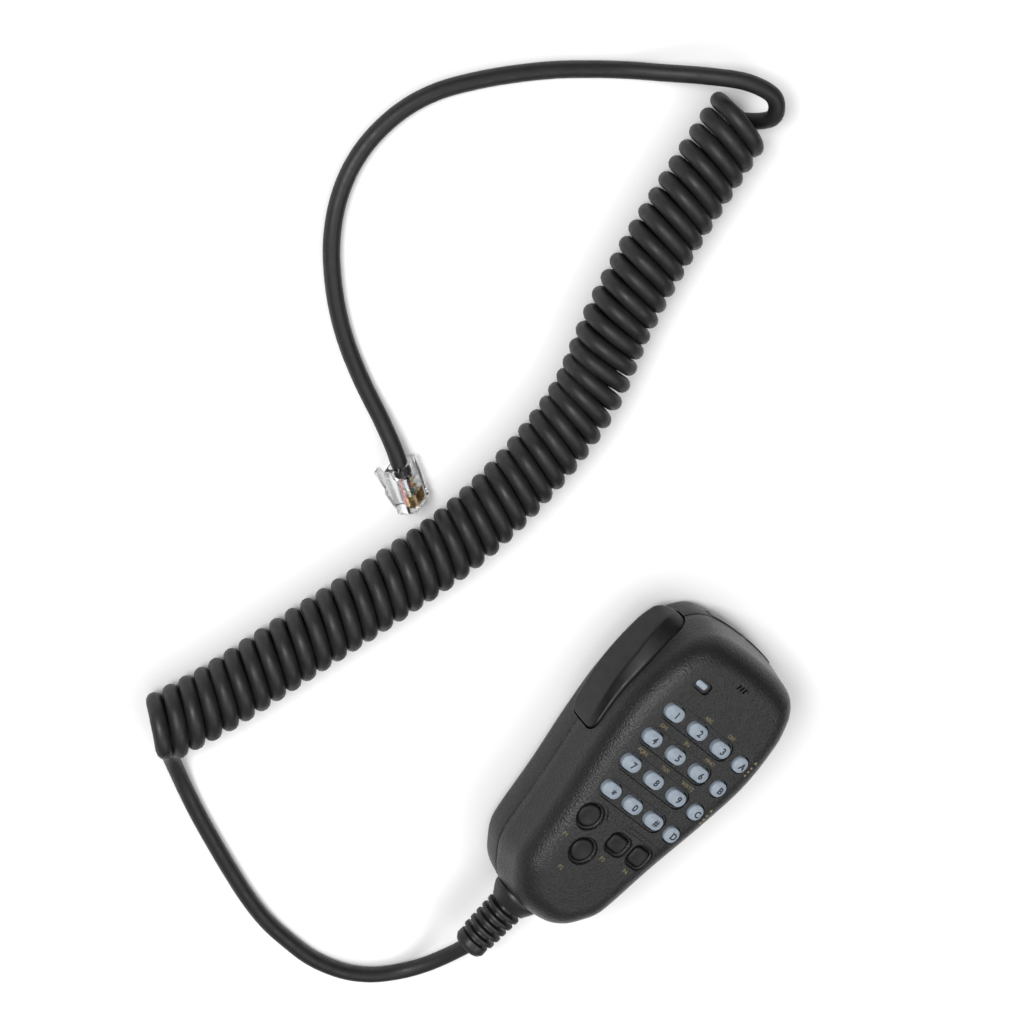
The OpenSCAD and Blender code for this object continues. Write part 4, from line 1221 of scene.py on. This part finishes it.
def dress_cad_nodes():
    """Gives each CAD node the finish of its slot."""
    slots = {row["node"]: row["material_slot"] for row in frame["record"]["subparts"]}
    for name, node in frame["nodes"].items():
        node.data.materials.clear()
        node.data.materials.append(MATERIALS[slots[name]])
        for face in node.data.polygons:
            face.material_index = 0


# ------------------------------------------------------------------ operators

class MIC_OT_camera(bpy.types.Operator):
    """Add the camera"""
    bl_idname = "mic.camera"
    bl_label = "Camera"

    def execute(self, context):
        build_camera()
        return {"FINISHED"}


class MIC_OT_cord(bpy.types.Operator):
    """Add the cord, its strain relief and its modular plug"""
    bl_idname = "mic.cord"
    bl_label = "Cord and plug"

    def execute(self, context):
        make_materials()
        MATERIALS["boot_rubber"] = soft_rubber("boot_rubber", (0.011, 0.011, 0.012), 0.46)
        MATERIALS["scan_plastic"] = satin_plastic("scan_plastic", (0.03, 0.03, 0.032), roughness=0.3)
        cord, path = build_cord()
        on_it = [build_boot(), build_plug_body(), build_plug_latch(), *build_plug_wires(), "plug_contacts"]
        return {"FINISHED"}


class MIC_OT_case(bpy.types.Operator):
    """Add the two shells of the case"""
    bl_idname = "mic.case"
    bl_label = "Case"

    def execute(self, context):
        build_front_shell()
        build_rear_shell()
        return {"FINISHED"}


class MIC_OT_lever(bpy.types.Operator):
    """Add the talk lever"""
    bl_idname = "mic.lever"
    bl_label = "Talk lever"

    def execute(self, context):
        build_lever()
        return {"FINISHED"}


class MIC_OT_keys(bpy.types.Operator):
    """Add the silicone keys and their legends"""
    bl_idname = "mic.keys"
    bl_label = "Keys"

    def execute(self, context):
        build_keys()
        return {"FINISHED"}


class MIC_OT_buttons(bpy.types.Operator):
    """Add the programme buttons, the buttons on the top end and the status lens"""
    bl_idname = "mic.buttons"
    bl_label = "Buttons and lens"

    def execute(self, context):
        build_programme_buttons()
        build_scan_buttons()
        build_lens()
        return {"FINISHED"}


class MIC_OT_labels(bpy.types.Operator):
    """Add the printing on the face"""
    bl_idname = "mic.labels"
    bl_label = "Labels"

    def execute(self, context):
        build_labels()
        return {"FINISHED"}


class MIC_OT_cad_finishes(bpy.types.Operator):
    """Give the CAD nodes their finishes"""
    bl_idname = "mic.cad_finishes"
    bl_label = "Inner pieces"

    def execute(self, context):
        dress_cad_nodes()
        return {"FINISHED"}


class MIC_OT_stage(bpy.types.Operator):
    """Add the floor and the light"""
    bl_idname = "mic.stage"
    bl_label = "Stage"

    def execute(self, context):
        build_stage()
        return {"FINISHED"}


OPERATORS = (MIC_OT_camera, MIC_OT_cord, MIC_OT_cad_finishes, MIC_OT_case, MIC_OT_lever, MIC_OT_keys,
             MIC_OT_buttons, MIC_OT_labels, MIC_OT_stage)


class MIC_PT_panel(bpy.types.Panel):
    """Lists the microphone's pieces and sizes"""
    bl_idname = "MIC_PT_panel"
    bl_label = "Hand microphone"
    bl_space_type = "VIEW_3D"
    bl_region_type = "UI"
    bl_category = "Microphone"

    def draw(self, context):
        for operator in OPERATORS:
            self.layout.operator(operator.bl_idname)
        for name, group in GROUPS.items():
            section = self.layout.box()
            section.label(text=group.__doc__)
            for size in group.__annotations__:
                section.prop(getattr(context.scene, name), size)


def register():
    """Registers the classes and hangs the property groups on the scene."""
    for name, group in GROUPS.items():
        bpy.utils.register_class(group)
        setattr(bpy.types.Scene, name, PointerProperty(type=group))
    for each in (*OPERATORS, MIC_PT_panel):
        bpy.utils.register_class(each)


def unregister():
    """Takes away what register added."""
    for each in (MIC_PT_panel, *reversed(OPERATORS)):
        bpy.utils.unregister_class(each)
    for name, group in reversed(GROUPS.items()):
        delattr(bpy.types.Scene, name)
        bpy.utils.unregister_class(group)


def main():
    """Builds every piece in order."""
    register()
    for operator in OPERATORS:
        group, name = operator.bl_idname.split(".")
        getattr(getattr(bpy.ops, group), name)()


if __name__ == "__main__":
    main()
